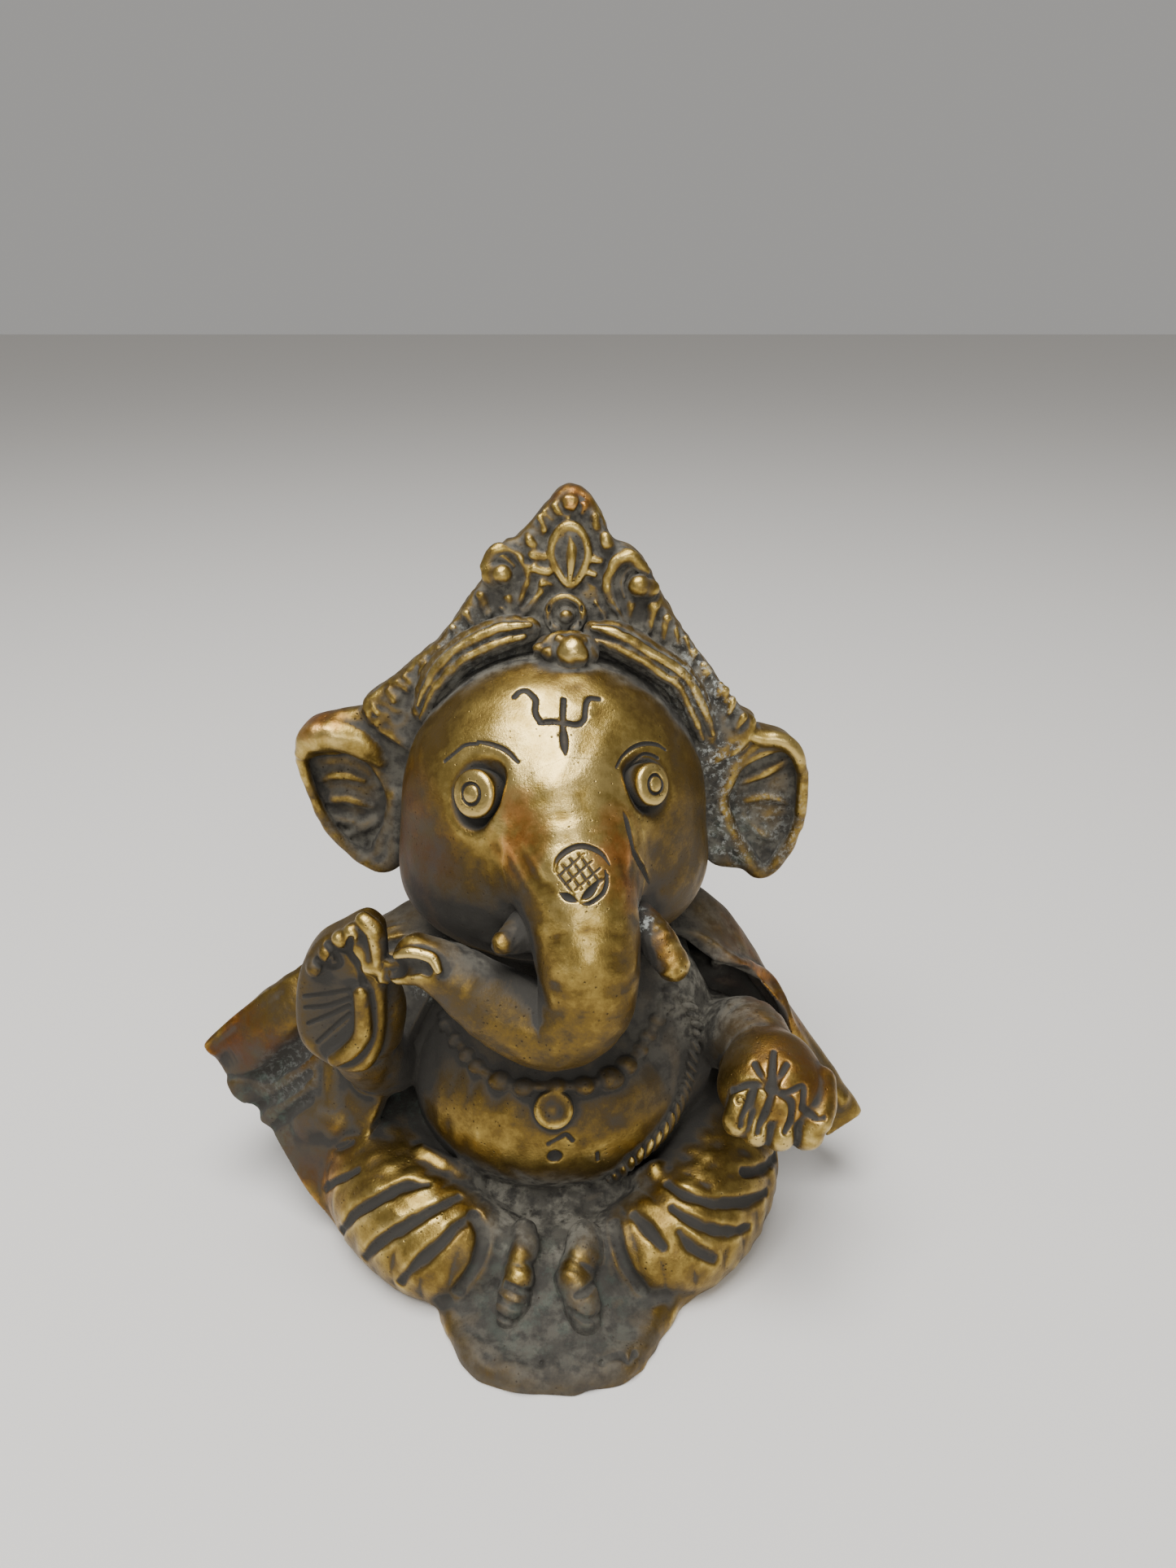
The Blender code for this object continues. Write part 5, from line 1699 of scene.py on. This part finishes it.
def brass(name):
    """Aged brass: grime and painted shade in the hollows, brown patina, bright metal where it stands out or
    is handled, painted highlights on the forehead and belly, and a reddish tint that partly paints a red
    reflection.
    """
    g = Graph(name)
    cloud, mottle, grain = g.noise(7.0, 4), g.noise(1.6, 5, 0.65), g.noise(0.32, 3, 0.6)
    shine = bare_metal_and_painted_light(g, cloud, mottle, grain)
    colour = g.ramp(
        shine,
        (0.0, (0.026, 0.023, 0.018)),
        (0.22, (0.050, 0.038, 0.022)),
        (0.42, (0.080, 0.053, 0.019)),
        (0.60, (0.175, 0.112, 0.029)),
        (0.80, (0.34, 0.235, 0.062)),
        (1.0, (0.57, 0.42, 0.145)),
    )
    metal = g.ramp(shine, (0.0, 0.0), (0.2, 0.15), (0.42, 0.7), (0.6, 1.0))
    rough = g.ramp(shine, (0.0, 0.85), (0.3, 0.6), (0.55, 0.42), (1.0, 0.3))
    shut = g.math("ADD", g.attribute("hollow"), g.attribute("groove"))
    # reddish tint, partly patina and partly a painted red reflection, kept out of hollows and grooves
    red_tint_and_reflection = zone_share(g, "red_tint_and_reflection", g.noise(3.5, 4), 0.3, 0.62)
    red_tint_and_reflection = g.math("MULTIPLY", red_tint_and_reflection, g.math("SUBTRACT", 1.0, shut, clamp=True))
    colour = g.mix(red_tint_and_reflection, colour, RED_TINT_AND_REFLECTION, blend_type="MULTIPLY")
    dust = dust_share(g, shine, mottle)
    colour = g.mix(dust, colour, DUST)
    green = g.math("MULTIPLY", zone_share(g, "green", g.noise(2.2, 5, 0.7), 0.46, 0.66), 0.6)
    colour = g.mix(green, colour, VERDIGRIS)
    flakes = zone_share(g, "chalk", g.noise(0.9, 6, 0.75), 0.5, 0.6)
    colour = g.mix(flakes, colour, CHALK)
    pits = g.math("MULTIPLY", g.step(g.spots(0.9), 0.2, 0.07), g.step(cloud, 0.45, 0.6))
    colour = g.mix(g.math("MULTIPLY", pits, 0.75), colour, PIT)
    dull = g.math("MAXIMUM", g.math("MAXIMUM", flakes, dust), green)
    rough = g.sum((rough, 1.0), (mottle, 0.16), (dull, 0.3), (pits, 0.2))
    scratches = g.noise(0.5, 2, 0.6, stretch=(6.0, 1.0, 0.35))
    height = g.sum((mottle, 0.5), (grain, 0.28), (pits, -0.5), (flakes, 0.4), (scratches, 0.08), (cloud, 0.3))
    bump = g.make("ShaderNodeBump", {"Height": height, "Strength": 0.55, "Distance": BUMP * MM})
    g.put(g.shader.inputs["Base Color"], colour)
    g.put(g.shader.inputs["Metallic"], g.math("MULTIPLY", metal, g.math("SUBTRACT", 1.0, dull)))
    g.put(g.shader.inputs["Roughness"], g.math("SUBTRACT", rough, 0.08, clamp=True))
    g.put(g.shader.inputs["Normal"], bump.outputs["Normal"])
    return g.material


# ---- the idol ----


def sculpt_piece(name, made):
    shape = share_of(name, made)
    points, faces = sculpt(shape, FORMS[name][2] * (1.0))
    _, slope, _ = chunked_gradient(shape, points, 0.1)
    normals = slope / np.maximum(length(slope), 1e-9)[:, None]
    fine, coarse = surface_bend(shape, points)
    return points, faces, normals, fine, coarse


def build_pieces():
    made = {name: form[0]() for name, form in FORMS.items()}
    for name in made:
        neighbours(name, made)  # widens every field before the threads share them
    biggest_first = sorted(FORMS, key=lambda name: -np.prod(made[name].high - made[name].low))
    with ThreadPoolExecutor(4) as pool:
        jobs = {name: pool.submit(sculpt_piece, name, made) for name in biggest_first}
        pieces = {name: jobs[name].result() for name in FORMS}
    air = Air([piece[:2] for piece in pieces.values()])
    marks = zones()
    for name, (points, faces, normals, fine, coarse) in pieces.items():
        obj = mesh_object("brass_" + name, points, faces)
        # hollow is painted shade: it darkens the colour where the idol shuts the surface in
        store(obj.data, "hollow", occlusion_shade(air, points, normals))
        store(obj.data, "fine_edge", fine)
        store(obj.data, "edge", np.maximum(coarse, 0))
        store(obj.data, "groove", np.clip(-1.4 * coarse - 0.7 * fine, 0, 1))
        for zone, spots in marks.items():
            store(obj.data, zone, zone_weight(points, spots))
        obj.data.materials.append(brass("brass_" + name))
        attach(obj, "root")
        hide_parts(name)


# ---- camera, floor and light ----

FLOOR = 2.0  # metres from its middle to a side
FLOOR_COLOUR = (0.75, 0.73, 0.7, 1)
SKY_COLOUR = (1.0, 0.98, 0.95, 1)
SKY_STRENGTH = 0.36
LIT = Vector((0, 0, 0.05))  # where the lights point


def add(name, data):
    obj = bpy.data.objects.new(name, data)
    bpy.context.scene.collection.objects.link(obj)
    return obj


def camera():
    data = bpy.data.cameras.new("camera")
    data.lens = LENS
    data.sensor_width = SENSOR
    data.clip_start = 0.01
    obj = add("camera", data)
    obj.location = Vector(EYE * MM)
    obj.rotation_euler = (math.pi / 2 - LOOK_DOWN, 0, 0)
    bpy.context.scene.camera = obj


def stage():
    corners = [(-FLOOR, -FLOOR, 0), (FLOOR, -FLOOR, 0), (FLOOR, FLOOR, 0), (-FLOOR, FLOOR, 0)]
    mesh = bpy.data.meshes.new("floor")
    mesh.from_pydata(corners, [], [(0, 1, 2, 3)])
    pale = bpy.data.materials.new("pale_floor")
    pale.use_nodes = True
    shader = pale.node_tree.nodes["Principled BSDF"]
    shader.inputs["Base Color"].default_value = FLOOR_COLOUR
    shader.inputs["Roughness"].default_value = 0.9
    mesh.materials.append(pale)
    add("floor", mesh)


def light(name, place, size, power):
    data = bpy.data.lights.new(name, "AREA")
    data.shape = "RECTANGLE"
    data.size, data.size_y = size
    data.energy = power
    obj = add(name, data)
    obj.location = place
    obj.rotation_euler = (LIT - obj.location).to_track_quat("-Z", "Y").to_euler()


def lights():
    world = bpy.data.worlds.new("studio")
    world.use_nodes = True
    sky = world.node_tree.nodes["Background"]
    sky.inputs["Color"].default_value = SKY_COLOUR
    sky.inputs["Strength"].default_value = SKY_STRENGTH
    bpy.context.scene.world = world
    light("overhead", (-0.08, -0.12, 0.6), (0.35, 0.5), 5.6)
    light("front", (0.1, -0.7, 0.35), (0.5, 0.3), 2.0)


build_pieces()
stage()
camera()
lights()
